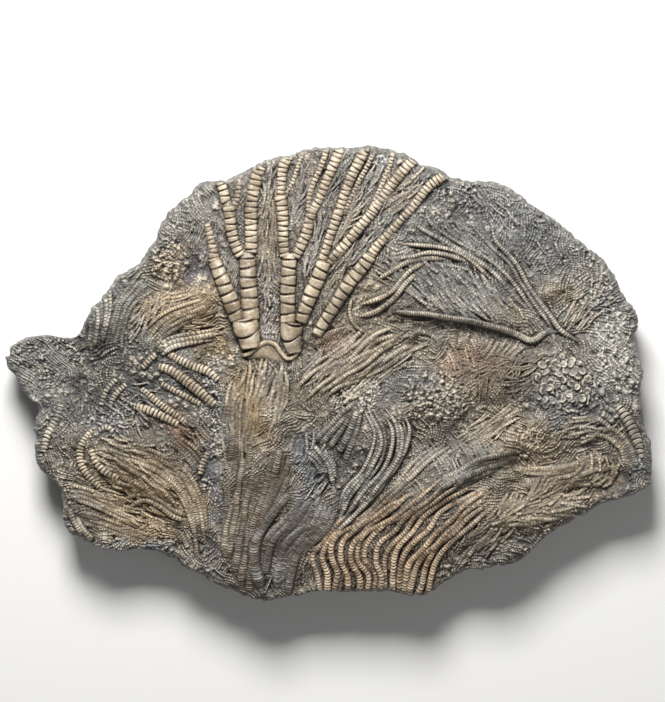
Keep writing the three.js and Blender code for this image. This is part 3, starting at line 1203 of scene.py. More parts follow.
@dataclass(frozen=True)
class Sheaf:
    """Strands that run side by side between guide lines.

    Attributes:
        guides: Guide lines, side by side and all running the same way, mm.
        count: How many strands.
        width: Strand width at its start and its end, mm.
        weave: How the strands are made.
        wobble: How far a strand wanders to either side, mm.
        trim: How much of its length a strand may stop short by, as a share.
        lift: Height added, mm.
    """

    guides: tuple[Route, ...]
    count: int
    width: tuple[float, float]
    weave: Weave
    wobble: float = 0.25
    trim: float = 0.06
    lift: float = 0.0

    def routes(self, rng: np.random.Generator) -> list[np.ndarray]:
        """Work out each strand's middle line: a blend of its two nearest guides, plus a wander."""
        share = np.linspace(0, 1, 60)
        lines = [spline(guide) for guide in self.guides]
        lines = np.stack([along_curve(line, share * curve_length(line)) for line in lines])
        common = int(rng.integers(9999))
        routes = []
        for k in range(self.count):
            place = (len(lines) - 1) * (k / max(1, self.count - 1))
            low = min(int(place), len(lines) - 2) if len(lines) > 1 else 0
            part = place - low
            line = lines[low] if len(lines) == 1 else lines[low] * (1 - part) + lines[low + 1] * part
            length = curve_length(line)
            start, end = rng.uniform(0, self.trim), 1 - rng.uniform(0, self.trim)
            line = along_curve(line, np.linspace(start, end, 60) * length)
            run = np.gradient(line, axis=0)
            run = run / (np.linalg.norm(run, axis=1, keepdims=True) + 1e-12)
            side = np.stack([run[:, 1], -run[:, 0]], axis=-1)
            wander = 0.8 * smooth_noise(share * length / 7.5, share * 0 + 1.2 * place, common)
            wander = wander + 0.5 * smooth_noise(share * length / 5.0, share * 0 + 0.5,
                int(rng.integers(9999)))
            routes.append(line + side * (self.wobble * wander)[:, None])
        return routes


@dataclass(frozen=True)
class Field:
    """Short fine strands scattered over an oval, all combed one way.

    Attributes:
        at: Middle, mm.
        reach: Reach along and across, mm.
        turn: Direction of the oval, degrees.
        count: How many strands.
        heading: Direction of the strands, degrees.
        fan: How much the heading turns across the oval, degrees.
        stray: How far single strands stray from it, degrees.
        length: Strand length, mm.
        width: Strand width, mm.
        weave: How they are made.
        curl: How far a strand bends from end to end, degrees.
    """

    at: Point
    reach: Point
    turn: float
    count: int
    heading: float
    fan: float
    stray: float
    length: float
    width: float
    weave: Weave
    curl: float = 25.0


@dataclass(frozen=True)
class Crust:
    """Ossicles scattered over an oval.

    Attributes:
        at: Middle of the oval, mm.
        reach: Half sizes of the oval, mm.
        turn: Direction of its long side, degrees from +X.
        count: How many are drawn.
        size: Width of a middling one, mm.
        tone: Their tone.
        tone_share: How far that tone covers the rock's own, 0 to 1.
        dimple: Round joints with a dimple, in place of angular grains.
        tilt: Steepest tilt, radians.
        lift: How far they are raised, mm.
    """

    at: Point
    reach: Point
    turn: float
    count: int
    size: float
    tone: Tone
    tone_share: float = 0.45
    dimple: bool = False
    tilt: float = 0.6
    lift: float = 0.05


# -------------------------------------------------------------------------- the sub-assemblies


@dataclass
class Bed:
    """A part of the face, with what lies in it.

    Attributes:
        name: What it is.
        arms: Jointed arms.
        sheaves: Strands side by side.
        fields: Scattered hair-thin strands.
        crusts: Scattered ossicles.
    """

    name: str = "bed"
    arms: tuple[Arm, ...] = ()
    sheaves: tuple[Sheaf, ...] = ()
    fields: tuple[Field, ...] = ()
    crusts: tuple[Crust, ...] = ()

    def press(self, cast: Cast) -> None:
        """Press everything into the cast.

        Args:
            cast: The split face.
        """
        for part in self.fields:
            cast.press_field(part)
        for crust in self.crusts:
            cast.press_crust(crust)
        for sheaf in self.sheaves:
            for route in sheaf.routes(cast.rng):
                cast.press_strand(route, sheaf.width, sheaf.weave, sheaf.lift)
        for arm in self.arms:
            cast.press_arm(arm)


@dataclass
class Crown(Bed):
    """The cup and its five branching arms, with the silted pinnules between them."""

    name: str = "crown"
    arms: tuple[Arm, ...] = (
        Arm(((-21.0, 11.8), (-22.3, 15.7), (-23.6, 19), (-25.2, 22.9), (-26.6, 26.1)), (3.2, 3.8, 3.5, 3.3,
            3.0), (2.5, 2.0)),
        Arm(((-26.4, 25.4), (-26.9, 29.3), (-27.6, 32.3), (-28.2, 34.6)), (2.6, 2.2, 1.3), (1.2, 1.0)),
        Arm(((-18.0, 5.5), (-18.4, 8.2), (-19.1, 10.8), (-19.4, 12.5)), (4.4, 5.1, 6.0, 5.6), (3.4, 3.2),
            0.34, 1.0, 0.16),
        Arm(((-18.1, 12.0), (-18.2, 16), (-18.5, 20), (-18.7, 24), (-19, 28.4)), (4.2, 4.1, 4.0, 4.0, 3.9,
            3.9, 3.8, 3.8, 3.7, 1.6), (2.5, 2.0)),
        Arm(((-20.2, 26.8), (-21.6, 29.5), (-22.5, 32.5), (-22.9, 36), (-23.2, 38.7)), (2.5, 2.6, 2.8),
            (1.3, 1.5)),
        Arm(((-23.1, 38), (-23.9, 40), (-24.5, 42.5), (-25.4, 44.6)), (2.4, 2.3, 2.0), (1.5, 1.2)),
        Arm(((-22.2, 37.8), (-21.3, 40), (-20.9, 42.6), (-20.8, 45.8)), (1.8, 1.6, 1.3), (1.0, 0.9)),
        Arm(((-18, 27.2), (-17.9, 31), (-18, 35), (-17.9, 39), (-17.2, 43.5), (-15.8, 48)), (2.9, 2.9, 2.9,
            3.0), (1.45, 1.15)),
        Arm(((-8.0, 4.4), (-8.4, 6.8), (-8.7, 9.2), (-8.5, 11.6)), (3.4, 4.2, 5.1, 5.2), (3.5, 3.3), 0.34,
            1.0, 0.16),
        Arm(((-9.5, 11.2), (-9.5, 16), (-9.5, 20), (-9.3, 24), (-9, 27.9)), (3.3, 3.3, 3.4, 3.4, 3.5, 3.5,
            3.5, 3.5, 3.4, 1.5), (2.5, 1.8)),
        Arm(((-10.1, 26.4), (-10.5, 30), (-10.6, 34), (-10.8, 38), (-11.3, 41)), (2.4, 2.5, 2.8), (1.2,
            1.2)),
        Arm(((-11.2, 40.2), (-11, 44), (-10.6, 47.6), (-9.4, 50.4)), (2.3, 2.2, 2.8), (1.1, 1.1)),
        Arm(((-10.2, 40.6), (-8.6, 43.6), (-7.2, 47.5), (-5.8, 51.8)), (1.2, 1.1, 1.0), (0.8, 0.8)),
        Arm(((-8, 26.4), (-6.7, 29), (-5.3, 32), (-4.5, 35.5), (-3.6, 38)), (2.5, 2.4, 2.4), (1.25, 1.2)),
        Arm(((-3.8, 37.4), (-2.1, 40.5), (-0.7, 44), (1.0, 48), (2.7, 52)), (2.2, 2.3, 2.5), (1.1, 1.2)),
        Arm(((-4.7, 37.2), (-4.3, 42), (-2.6, 46), (-1.2, 49.5), (-0.4, 52.8)), (1.6, 1.3, 1.4), (0.9,
            0.9)),
        Arm(((-6.6, 11.4), (-5.5, 14.8), (-4, 18.6), (-2.4, 22), (-1.1, 25.8)), (2.8, 3.4, 3.3), (2.5,
            2.0)),
        Arm(((-1.8, 24.8), (-0.9, 28), (0.1, 31), (1.2, 34.4), (2.4, 37.6)), (2.1, 2.2, 2.4), (1.25, 1.2)),
        Arm(((2.2, 36.8), (3.5, 41), (5, 45), (7, 49), (8.6, 52.4)), (2.2, 2.3, 2.5), (1.1, 1.1)),
        Arm(((3.2, 36.4), (5.1, 40.4), (6.8, 44), (8.6, 47.4), (10.2, 50.6)), (1.3, 1.2, 1.1), (0.8, 0.8)),
        Arm(((-0.2, 25), (1.6, 27.4), (4.2, 30.2), (7, 33.6), (9.8, 36.8)), (2.1, 2.3, 2.4), (1.25, 1.1)),
        Arm(((9.4, 36.4), (12, 40), (14.5, 43.5), (17, 46.6), (19.8, 49.6)), (2.3, 2.4, 2.5), (1.0, 1.1)),
        Arm(((9.6, 37.4), (11.2, 41), (12.7, 44.6), (14.2, 48.4), (14.9, 51.6)), (1.3, 1.2, 1.2), (0.8,
            0.8)),
        Arm(((-3.2, 8.4), (-0.5, 12.7), (2.1, 16.9), (4.9, 21.2), (7.6, 24.4), (9.7, 27.4)), (2.4, 3.0,
            3.2), (2.2, 1.7)),
        Arm(((9.2, 26.6), (11.2, 29.4), (14.5, 32.9), (19.4, 38.5), (23, 43), (28, 46.6)), (2.4, 2.0, 1.9,
            2.1, 2.4), (1.1, 0.9)),
        # The smooth saddle under the arms, and the zigzag ridge over it.
        Arm(((-19.0, 3.6), (-17.0, 4.6), (-14.4, 5.2), (-12.4, 4.2), (-9.8, 2.2)), (1.2, 3.4, 4.6, 3.6,
            1.2), (40, 40), 0.0, 1.0, -0.45, Tone.PLATE_GOLD),
        Arm(
            ((-20.0, 4.0), (-18.4, 4.5), (-16.4, 6.1), (-14.6, 7.0), (-12.5, 6.6), (-11.2, 4.9), (-9.6,
                3.3), (-7.9, 3.9), (-6.2, 7.2)),
            (0.9, 1.1, 1.0, 0.9, 0.8, 0.6), (40, 40), 0.0, 1.0, 1.4, Tone.PLATE_GOLD,
        ),
    )  # fmt: skip
    sheaves: tuple[Sheaf, ...] = (
        Sheaf((((-19.6, 4.2), (-21, -3), (-22.2, -10), (-23.4, -22)), ((-16.2, 5), (-17.4, -2), (-18.8,
            -9), (-20.4, -21))), 10, (0.9, 0.5), FIBRES, 0.9, 0.5, 0.25),
        Sheaf((((-14.6, 5.4), (-16.6, 0), (-18.6, -6), (-20.2, -16)), ((-13.2, 5.2), (-14.2, 0), (-15.6,
            -6), (-17.2, -18))), 12, (0.8, 0.5), FIBRES, 0.9, 0.5, 0.3),
        Sheaf((((-13.4, 5), (-12.8, -1), (-13, -7), (-14.8, -17)), ((-9.8, 3), (-9.8, -3), (-10.2, -8),
            (-12.4, -17))), 10, (0.9, 0.5), FIBRES, 1.0, 0.5, 0.25),
        Sheaf((((-20, 3), (-23.6, -5), (-24.8, -13), (-25, -20)), ((-10.8, 2), (-11.6, -5), (-15, -11),
            (-19, -18))), 24, (0.8, 0.7), FIBRES, 0.7, 0.3, 0.05),
    )  # fmt: skip
    fields: tuple[Field, ...] = (
        Field((-13.8, 33), (11, 2.6), 88, 70, 84, -10, 10, 5.0, 0.55, TAN_HAIRS, 10),
        Field((-14.3, 45), (5, 1.9), 85, 26, 96, 40, 16, 3.6, 0.5, GREY_HAIRS, 20),
        Field((-6.6, 41), (8, 1.6), 78, 34, 74, 30, 14, 3.6, 0.5, GREY_HAIRS, 20),
        Field((-3.2, 30), (8, 1.6), 74, 34, 78, 30, 12, 3.8, 0.5, GREY_HAIRS, 15),
        Field((1.9, 46), (7, 1.5), 68, 26, 66, 20, 14, 3.4, 0.5, GREY_HAIRS, 20),
        Field((5, 36.5), (7, 1.6), 62, 30, 58, 20, 16, 3.6, 0.5, TAN_HAIRS, 20),
        Field((1.8, 24), (6, 1.7), 58, 24, 56, 0, 14, 3.8, 0.5, TAN_HAIRS, 20),
        Field((11, 46), (5, 1.5), 60, 18, 56, 0, 20, 3.0, 0.5, GREY_HAIRS, 20),
        Field((17.5, 42), (7, 2.4), 48, 36, 44, 0, 22, 3.6, 0.55, TAN_HAIRS, 30),
        Field((9.5, 31), (7, 1.7), 48, 28, 46, 0, 16, 3.4, 0.5, GREY_HAIRS, 20),
        Field((-13.8, 22), (6, 2.2), 90, 22, 88, 0, 24, 3.0, 0.5, GREY_HAIRS, 20),
    )
    crusts: tuple[Crust, ...] = (
        Crust((-13.6, 14), (5.5, 2.3), 88, 80, 0.85, Tone.PALE_GRIT, 0.6),
        Crust((-22.6, 20), (8, 1.3), 98, 60, 0.7, Tone.MATRIX_GREY),
        Crust((-21, 38), (6, 1.0), 92, 20, 0.7, Tone.BLUE_GREY),
        Crust((-13.6, 8.6), (1.6, 1.3), 0, 16, 0.9, Tone.PALE_GRIT, 0.7),
        Crust((12, 49), (2.2, 1.3), 30, 34, 0.7, Tone.PALE_GRIT, 0.8),
        Crust((-27.2, 34), (5, 1.3), 100, 24, 0.9, Tone.BLUE_GREY),
    )


@dataclass
class SeaOfArcs(Bed):
    """The upper right: thin arms that arch over from the crown, and the terrace under them."""

    name: str = "arcs"
    sheaves: tuple[Sheaf, ...] = (
        Sheaf((((18.5, 35.4), (22, 33), (26, 31), (30, 28.7), (34, 26.3), (38, 23.4), (42, 19), (45.5,
            15)),), 1, (1.0, 1.1), GREY_RIBS, 0.1, 0, 0.35),
        Sheaf((((22.4, 38), (23.2, 35.2), (26.4, 32.4), (30.8, 29.8), (35, 27.6), (39, 24.8), (43, 20.6),
            (47, 14.6)),), 1, (0.9, 1.1), GREY_RIBS, 0.1, 0, 0.4),
        Sheaf((((16.8, 29.8), (21, 29.5), (26, 29), (30, 27.8), (34, 25.2), (37.5, 21.8)),), 1, (0.9, 1.1),
            TAN_RIBS, 0.1, 0, 0.4),
        Sheaf((((15.2, 26.4), (19, 26.9), (23, 27.8), (27, 27.4), (31.5, 26)),), 1, (0.9, 1.2), TAN_RIBS,
            0.1, 0, 0.35),
        Sheaf((((11, 21.4), (14.5, 23.5), (18.5, 25.8), (23, 26.4), (27, 26.2)),), 1, (0.8, 1.2), TAN_RIBS,
            0.1, 0, 0.4),
        Sheaf((((7.6, 15.8), (11.5, 17.2), (14.6, 19), (16.6, 21.4), (19, 23.8), (22.4, 25.6)),), 1, (1.2,
            1.2), TAN_RIBS, 0.1, 0, 0.4),
        Sheaf((((7, 13), (11, 14.2), (14.8, 17), (17.6, 20.6), (20.6, 23.4)),), 1, (1.1, 1.2), TAN_RIBS,
            0.1, 0, 0.35),
        Sheaf((((24, 25.5), (29, 24.7), (33, 23.6)),), 1, (0.9, 0.7), GREY_RIBS, 0.1, 0, 0.2),
        Sheaf((((37.5, 34.5), (38.4, 31), (41.4, 27.6), (44.2, 24), (46.2, 20.2), (48.7, 16.6), (51, 13.4),
            (53.4, 10), (57.6, 7.3)),), 1, (1.0, 1.3), GREY_RIBS, 0.1, 0, 0.45),
        Sheaf((((33.4, 33.6), (38, 28.8), (42, 25.2), (44.8, 20.4), (47.4, 16.4), (50, 12.8), (52, 9.4)),),
            1, (0.8, 1.1), GREY_RIBS, 0.1, 0, 0.3),
        Sheaf((((8.6, 9.2), (6, 11), (4.8, 13.8), (5.2, 17)),), 1, (0.8, 0.8), TAN_RIBS, 0.05, 0, 0.3),
        Sheaf((((13.6, 13.8), (18, 14), (22, 13.7), (26, 12.9), (32, 12.1), (36, 11.1), (40, 9.9), (43.6,
            8.6), (47, 7.4), (50, 9.2), (53.4, 9.4)),), 1, (1.2, 1.8), STEM, 0.3, 0, 0.4),
        Sheaf((((14.5, 8.6), (18, 11.2), (22, 11.4), (25.6, 9.6), (27, 6.6)), ((18, 7.4), (20.5, 9.2), (23,
            9), (25, 7.6), (26, 5))), 4, (1.1, 1.0), GREY_RIBS, 0.2, 0.05),
        Sheaf((((28.5, 11), (29, 8), (28.5, 5)), ((35, 9.5), (33, 7), (31, 4.6))), 4, (1.3, 1.0), TAN_RIBS,
            0.2, 0.1),
        Sheaf((((38.5, 8.6), (37, 5.6), (35, 3)), ((45.5, 6.6), (42.4, 3.8), (39.4, 1))), 6, (1.1, 0.9),
            TAN_RIBS, 0.2, 0.1),
    )  # fmt: skip
    fields: tuple[Field, ...] = (
        Field((28, 19), (14, 5), -18, 150, -48, 0, 12, 5.2, 0.75, GREY_HAIRS, 25),
        Field((46, 32), (13, 6), -35, 34, -52, 30, 16, 3.4, 0.5, GREY_HAIRS, 25),
        Field((60, 18), (6, 9), 20, 24, 70, 40, 18, 3.0, 0.5, TAN_HAIRS, 25),
        Field((41, 13.5), (5, 3), -35, 30, -55, 0, 14, 3.4, 0.5, TAN_HAIRS, 25),
        Field((13.2, 23.6), (3.4, 2.4), 35, 26, 150, 0, 8, 3.2, 0.42, TAN_HAIRS, 10),
        Field((16, 31.5), (4, 1.6), 15, 14, 150, 0, 12, 3.4, 0.5, GREY_HAIRS, 20),
        Field((33, 31), (7, 2.2), -35, 40, -42, 0, 18, 3.6, 0.5, GREY_HAIRS, 30),
        Field((58, 13.5), (3.2, 3.2), 0, 26, 60, 0, 12, 3.0, 0.5, TAN_HAIRS, 20),
        Field((37, -1), (7, 5.5), 10, 120, 55, -90, 12, 4.2, 0.42, DARK_HAIRS, 40),
        Field((45, -1), (4, 5), 60, 44, 20, -60, 14, 3.6, 0.45, DARK_HAIRS, 40),
        Field((31, 4.5), (4, 3), 20, 30, 100, 0, 20, 3.0, 0.5, TAN_HAIRS, 30),
    )
    crusts: tuple[Crust, ...] = (
        Crust((50, 34), (14, 6), -38, 150, 1.1, Tone.MATRIX_GREY, 0.4),
        Crust((64, 18), (6, 11), 10, 160, 1.15, Tone.PALE_GRIT, 0.4),
        Crust((32, 40), (9, 3.4), -12, 70, 1.0, Tone.BLUE_GREY, 0.4),
    )


@dataclass
class Rosettes(Bed):
    """The right end: heaps of round stem joints, the ringed stem at the rim and pale grit."""

    name: str = "rosettes"
    arms: tuple[Arm, ...] = (
        Arm(((66.6, -7.6), (68.6, -10.2), (70.2, -13), (71.6, -16.6), (72.4, -20)), (2.2, 2.7, 2.4, 1.6),
            (1.1, 1.2), 0.4, 1.0, 0.02, Tone.STRAND_GREY),
    )  # fmt: skip
    sheaves: tuple[Sheaf, ...] = (
        Sheaf((((63, -7.6), (65.5, -9), (66.6, -11)), ((61.5, -10), (64, -11.6), (65.4, -13.6))), 3, (1.6,
            1.4), STEM_BUTTS, 0.2, 0.1),
        Sheaf((((60, -13.5), (64, -15), (67.4, -18), (68.4, -23)), ((62, -12), (66.4, -13.6), (70, -17.4),
            (70.8, -24))), 4, (1.2, 1.2), TAN_RIBS, 0.4, 0.1),
    )  # fmt: skip
    fields: tuple[Field, ...] = (
        Field((60, -13), (6, 3), 0, 40, 10, 0, 40, 3.4, 0.65, TAN_HAIRS, 50),
    )
    crusts: tuple[Crust, ...] = (
        Crust((53.6, -2.6), (6.6, 6.4), 0, 170, 1.5, Tone.STRAND_GREY, 0.5, True, 1.3, 0.25),
        Crust((54.5, -4), (8.4, 7.6), 0, 150, 1.3, Tone.MATRIX_GREY, 0.45, False, 1.2, 0.05),
        Crust((24.5, -5.8), (7.4, 4.4), -32, 250, 1.2, Tone.MATRIX_GREY, 0.45, False, 1.3, 0.25),
        Crust((24.5, -6), (8, 6.4), 0, 160, 0.9, Tone.STRAND_TAN, 0.5, False, 1.0, 0.1),
        Crust((66, 2), (5, 12), -5, 170, 1.25, Tone.PALE_GRIT, 0.5),
        Crust((72, -21), (2.6, 6.5), 5, 70, 1.1, Tone.BLUE_GREY, 0.5),
        Crust((48, -16), (7, 4), 15, 110, 1.1, Tone.STRAND_TAN, 0.5),
        Crust((57, -12), (7, 3.4), 5, 70, 1.1, Tone.BLUE_GREY, 0.4),
    )


@dataclass
class LeftSheaves(Bed):
    """The left half: the fan under the shoulder, the thick beaded arms and the curling stems."""

    name: str = "left"
    arms: tuple[Arm, ...] = (
        Arm(((-37.2, 4.6), (-34.5, 3.1), (-31, 1.5), (-28, 0.4), (-25.4, -1.8)), (1.5, 2.2, 2.1, 1.7),
            (0.8, 0.9), 0.25, 1.0, 0.28, Tone.PLATE_GOLD),
        Arm(((-39.6, 1.6), (-36.5, 0.6), (-33.5, -1.4), (-30.5, -3.8), (-28, -6), (-26.2, -7.6)), (1.7,
            2.4, 2.4, 1.9), (0.85, 0.95), 0.25, 1.0, 0.32, Tone.PLATE_GOLD),
        Arm(((-45.4, -7.6), (-41.4, -8.7), (-38, -10.2), (-34.6, -12)), (1.5, 2.0, 2.0, 1.6), (0.85, 0.95),
            0.25, 1.0, 0.2, Tone.STRAND_TAN),
        Arm(((-43.5, -3.6), (-41, -5.6), (-38, -8), (-35, -10), (-33, -11.6)), (1.2, 1.7, 1.7, 1.5), (0.8,
            0.8), 0.2, 1.0, 0.4, Tone.STRAND_TAN),
        Arm(((-38.8, -2.4), (-35, -4.4), (-32, -6), (-29.6, -7.2)), (1.2, 1.4, 1.4, 1.2), (0.8, 0.8), 0.2,
            1.0, 0.35, Tone.STRAND_TAN),
        Arm(((-62, -7.2), (-63.3, -11), (-65.2, -14.4), (-66.2, -18.6)), (1.4, 1.9, 1.9, 1.5), (0.85,
            0.85), 0.25, 1.0, 0.1, Tone.STRAND_GREY),
        Arm(((-54.4, -12.6), (-56.2, -14.8), (-57.6, -17.6), (-57.4, -21), (-55.6, -24), (-53, -26.6)),
            (1.1, 1.8, 1.8, 1.5), (0.75, 0.8), 0.25, 1.0, 0.2, Tone.STRAND_TAN),
        Arm(((-55, -17.6), (-54, -20.6), (-51.6, -23), (-48.6, -24.6)), (1.2, 1.7, 1.8, 1.5), (0.9, 0.9),
            0.25, 1.0, 0.4, Tone.STRAND_TAN),
        Arm(((-53.4, -13.2), (-51.4, -12.6), (-49.8, -13.6)), (1.2, 1.4, 1.2), (0.8, 0.8), 0.2, 1.0, 0.35,
            Tone.STRAND_GREY),
        Arm(((-49.4, -1.4), (-51.6, -4), (-53, -7.6)), (1.2, 1.5, 1.4), (0.8, 0.8), 0.2, 1.0, 0.35,
            Tone.STRAND_GREY),
        Arm(((-47, -2.6), (-49.6, -5), (-51, -8)), (1.2, 1.5, 1.3), (0.8, 0.8), 0.2, 1.0, 0.35,
            Tone.STRAND_GREY),
        Arm(((-43.2, 1.2), (-41.4, 3), (-39.8, 4.4)), (1.4, 1.6, 1.2), (0.8, 0.8), 0.2, 1.0, 0.4,
            Tone.STRAND_TAN),
        Arm(((-28, -18.4), (-29.2, -21), (-29.8, -23.6)), (1.2, 1.6, 1.2), (0.8, 0.8), 0.2, 1.0, 0.35,
            Tone.STRAND_TAN),
    )  # fmt: skip
    sheaves: tuple[Sheaf, ...] = (
        Sheaf((((-44.6, 6.4), (-41, 11), (-36, 14.6), (-30.5, 16.6), (-26, 18)), ((-42, 4.6), (-38, 8.2),
            (-33, 11.6), (-28, 13.6), (-24.8, 14.4))), 6, (0.9, 1.1), TAN_RIBS, 0.45, 0.2, 0.2),
        Sheaf((((-39.6, 5), (-37.6, 7.4), (-33.4, 8.6), (-29.4, 9.2), (-25, 10.2)), ((-38.6, 4), (-36, 6),
            (-32.6, 7), (-29, 7.6), (-26, 7.8))), 3, (1.3, 1.1), BEADS, 0.2, 0.06, 0.3),
        Sheaf((((-29, 7.4), (-26.6, 7.2), (-24.6, 6)), ((-28.6, 4.4), (-26.8, 4.4), (-25.4, 3.6))), 4,
            (0.8, 0.8), TAN_RIBS, 0.2, 0.1),
        Sheaf((((-43, 24), (-46, 20), (-48.6, 16), (-51, 9), (-51.4, 3)), ((-37.4, 21.4), (-41.6, 18.6),
            (-45.4, 15), (-47.8, 9), (-48.4, 3))), 9, (0.8, 1.1), GREY_RIBS, 0.4, 0.14),
        Sheaf((((-42, 20), (-38, 18.4), (-33, 18.8), (-29, 20.4)), ((-42.6, 15.4), (-38, 15.6), (-34,
            16.4), (-31, 17.6))), 4, (0.6, 0.7), TAN_RIBS, 0.4, 0.3),
        Sheaf((((-56, 15.4), (-55, 10), (-56, 4)), ((-50.6, 20.6), (-50.8, 14), (-52.6, 6))), 6, (1.0,
            1.0), SHORT_RIBS, 0.3, 0.15),
        Sheaf((((-46.4, -15.8), (-40, -18.4), (-35, -21.4), (-31, -26), (-28.8, -32), (-27.6, -39)),
            ((-47.6, -19), (-41, -22), (-36.6, -25.6), (-33.4, -30), (-31.6, -35), (-30.8, -40))), 9, (1.2,
            1.1), TAN_RIBS, 0.4, 0.1, 0.15),
        Sheaf((((-51, -17), (-46, -20.6), (-41, -24), (-37, -28), (-34.6, -32)), ((-55, -22), (-50.4,
            -25.6), (-45, -27.4), (-40, -29.6), (-36, -33))), 9, (1.1, 1.0), BROWN_RIBS, 0.5, 0.15),
        Sheaf((((-49, -32), (-46.4, -29), (-43, -28.3), (-39.4, -29.6), (-36, -31.8), (-32, -33.2)),
            ((-47.8, -33.2), (-45.4, -30.6), (-42.6, -29.6), (-39.6, -30.8), (-36.4, -33), (-32.6,
            -34.4))), 2, (0.9, 1.3), TAN_RIBS, 0.1, 0.03, 0.4),
        Sheaf((((-60.6, -25.6), (-56, -27), (-51, -29.4), (-47, -31.6)), ((-61, -28.6), (-56, -30), (-51,
            -32.4), (-46, -35), (-41, -37))), 7, (1.0, 1.0), TAN_RIBS, 0.3, 0.08),
        Sheaf((((-58.6, -31.4), (-53, -33.6), (-47, -35.8), (-40, -38)), ((-59, -34), (-53, -36), (-47,
            -38), (-42, -39.2))), 6, (1.0, 1.0), BROWN_RIBS, 0.3, 0.1),
        Sheaf((((-60.4, -31), (-59, -34.4), (-56.6, -37.6)), ((-58.6, -33.2), (-57.2, -35.8), (-54.4,
            -39))), 3, (1.2, 1.4), TAN_RIBS, 0.2, 0.05),
        Sheaf((((-37.6, -35), (-35, -37.6), (-33.6, -40)), ((-31.4, -37.6), (-30.8, -40), (-31, -43))), 4,
            (1.2, 1.2), BROWN_RIBS, 0.3, 0.1),
        Sheaf((((-43, -34.4), (-40, -34), (-37.4, -35.6)), ((-42.6, -36), (-39.6, -35.6), (-37.6, -37.2))),
            3, (0.9, 0.9), TAN_RIBS, 0.2, 0.1, 0.1),
        Sheaf((((-34.8, -14), (-31.4, -17.4), (-28.6, -21)), ((-38.6, -15.6), (-34, -18.6), (-30.4,
            -22.6))), 4, (1.0, 1.1), BROWN_RIBS, 0.3, 0.1),
    )  # fmt: skip
    fields: tuple[Field, ...] = (
        Field((-46, -8), (7, 6), 0, 34, -30, 40, 18, 3.6, 0.55, GREY_HAIRS, 30),
        Field((-44, -22), (10, 6), -25, 110, -32, 20, 20, 4.0, 0.7, TAN_HAIRS, 40),
        Field((-45, -31), (9, 4), -20, 50, -24, 0, 20, 3.6, 0.65, TAN_HAIRS, 40),
        Field((-41, 12), (6, 5), 40, 50, 60, 0, 30, 3.2, 0.55, GREY_HAIRS, 40),
        Field((-31, -14), (4, 4), 0, 34, -40, 0, 30, 3.0, 0.6, DARK_HAIRS, 40),
        Field((-29, 9), (4, 4), 20, 26, 10, 0, 30, 2.6, 0.5, TAN_HAIRS, 30),
    )
    crusts: tuple[Crust, ...] = (
        Crust((-36, 33), (9, 7), 50, 230, 1.05, Tone.MATRIX_GREY, 0.35),
        Crust((-36.5, 25.6), (5, 3.4), 35, 90, 1.5, Tone.PLATE_GOLD, 0.45),
        Crust((-66, 2.4), (9, 6), 0, 220, 1.15, Tone.DEEP_GREY, 0.35, False, 1.3, 0.0),
        Crust((-60, -14), (6, 9), 10, 130, 1.2, Tone.DEEP_GREY, 0.4),
        Crust((-50, -9), (9, 6), 0, 130, 1.1, Tone.DEEP_GREY, 0.35),
        Crust((-53, -11), (6, 3), 10, 90, 1.0, Tone.PALE_GRIT, 0.5),
        Crust((-26.4, -7), (2.4, 13), 3, 190, 1.0, Tone.PALE_GRIT, 0.55),
        Crust((-27.6, -26), (1.7, 12), 0, 80, 0.9, Tone.BLUE_GREY, 0.5),
        Crust((-43, -40), (7, 2), -4, 70, 1.1, Tone.BLUE_GREY, 0.5),
        Crust((-62, -25), (3, 6), 20, 60, 1.1, Tone.MATRIX_GREY, 0.4),
        Crust((-31, -41), (5, 3), -30, 60, 1.0, Tone.UMBER, 0.4),
    )


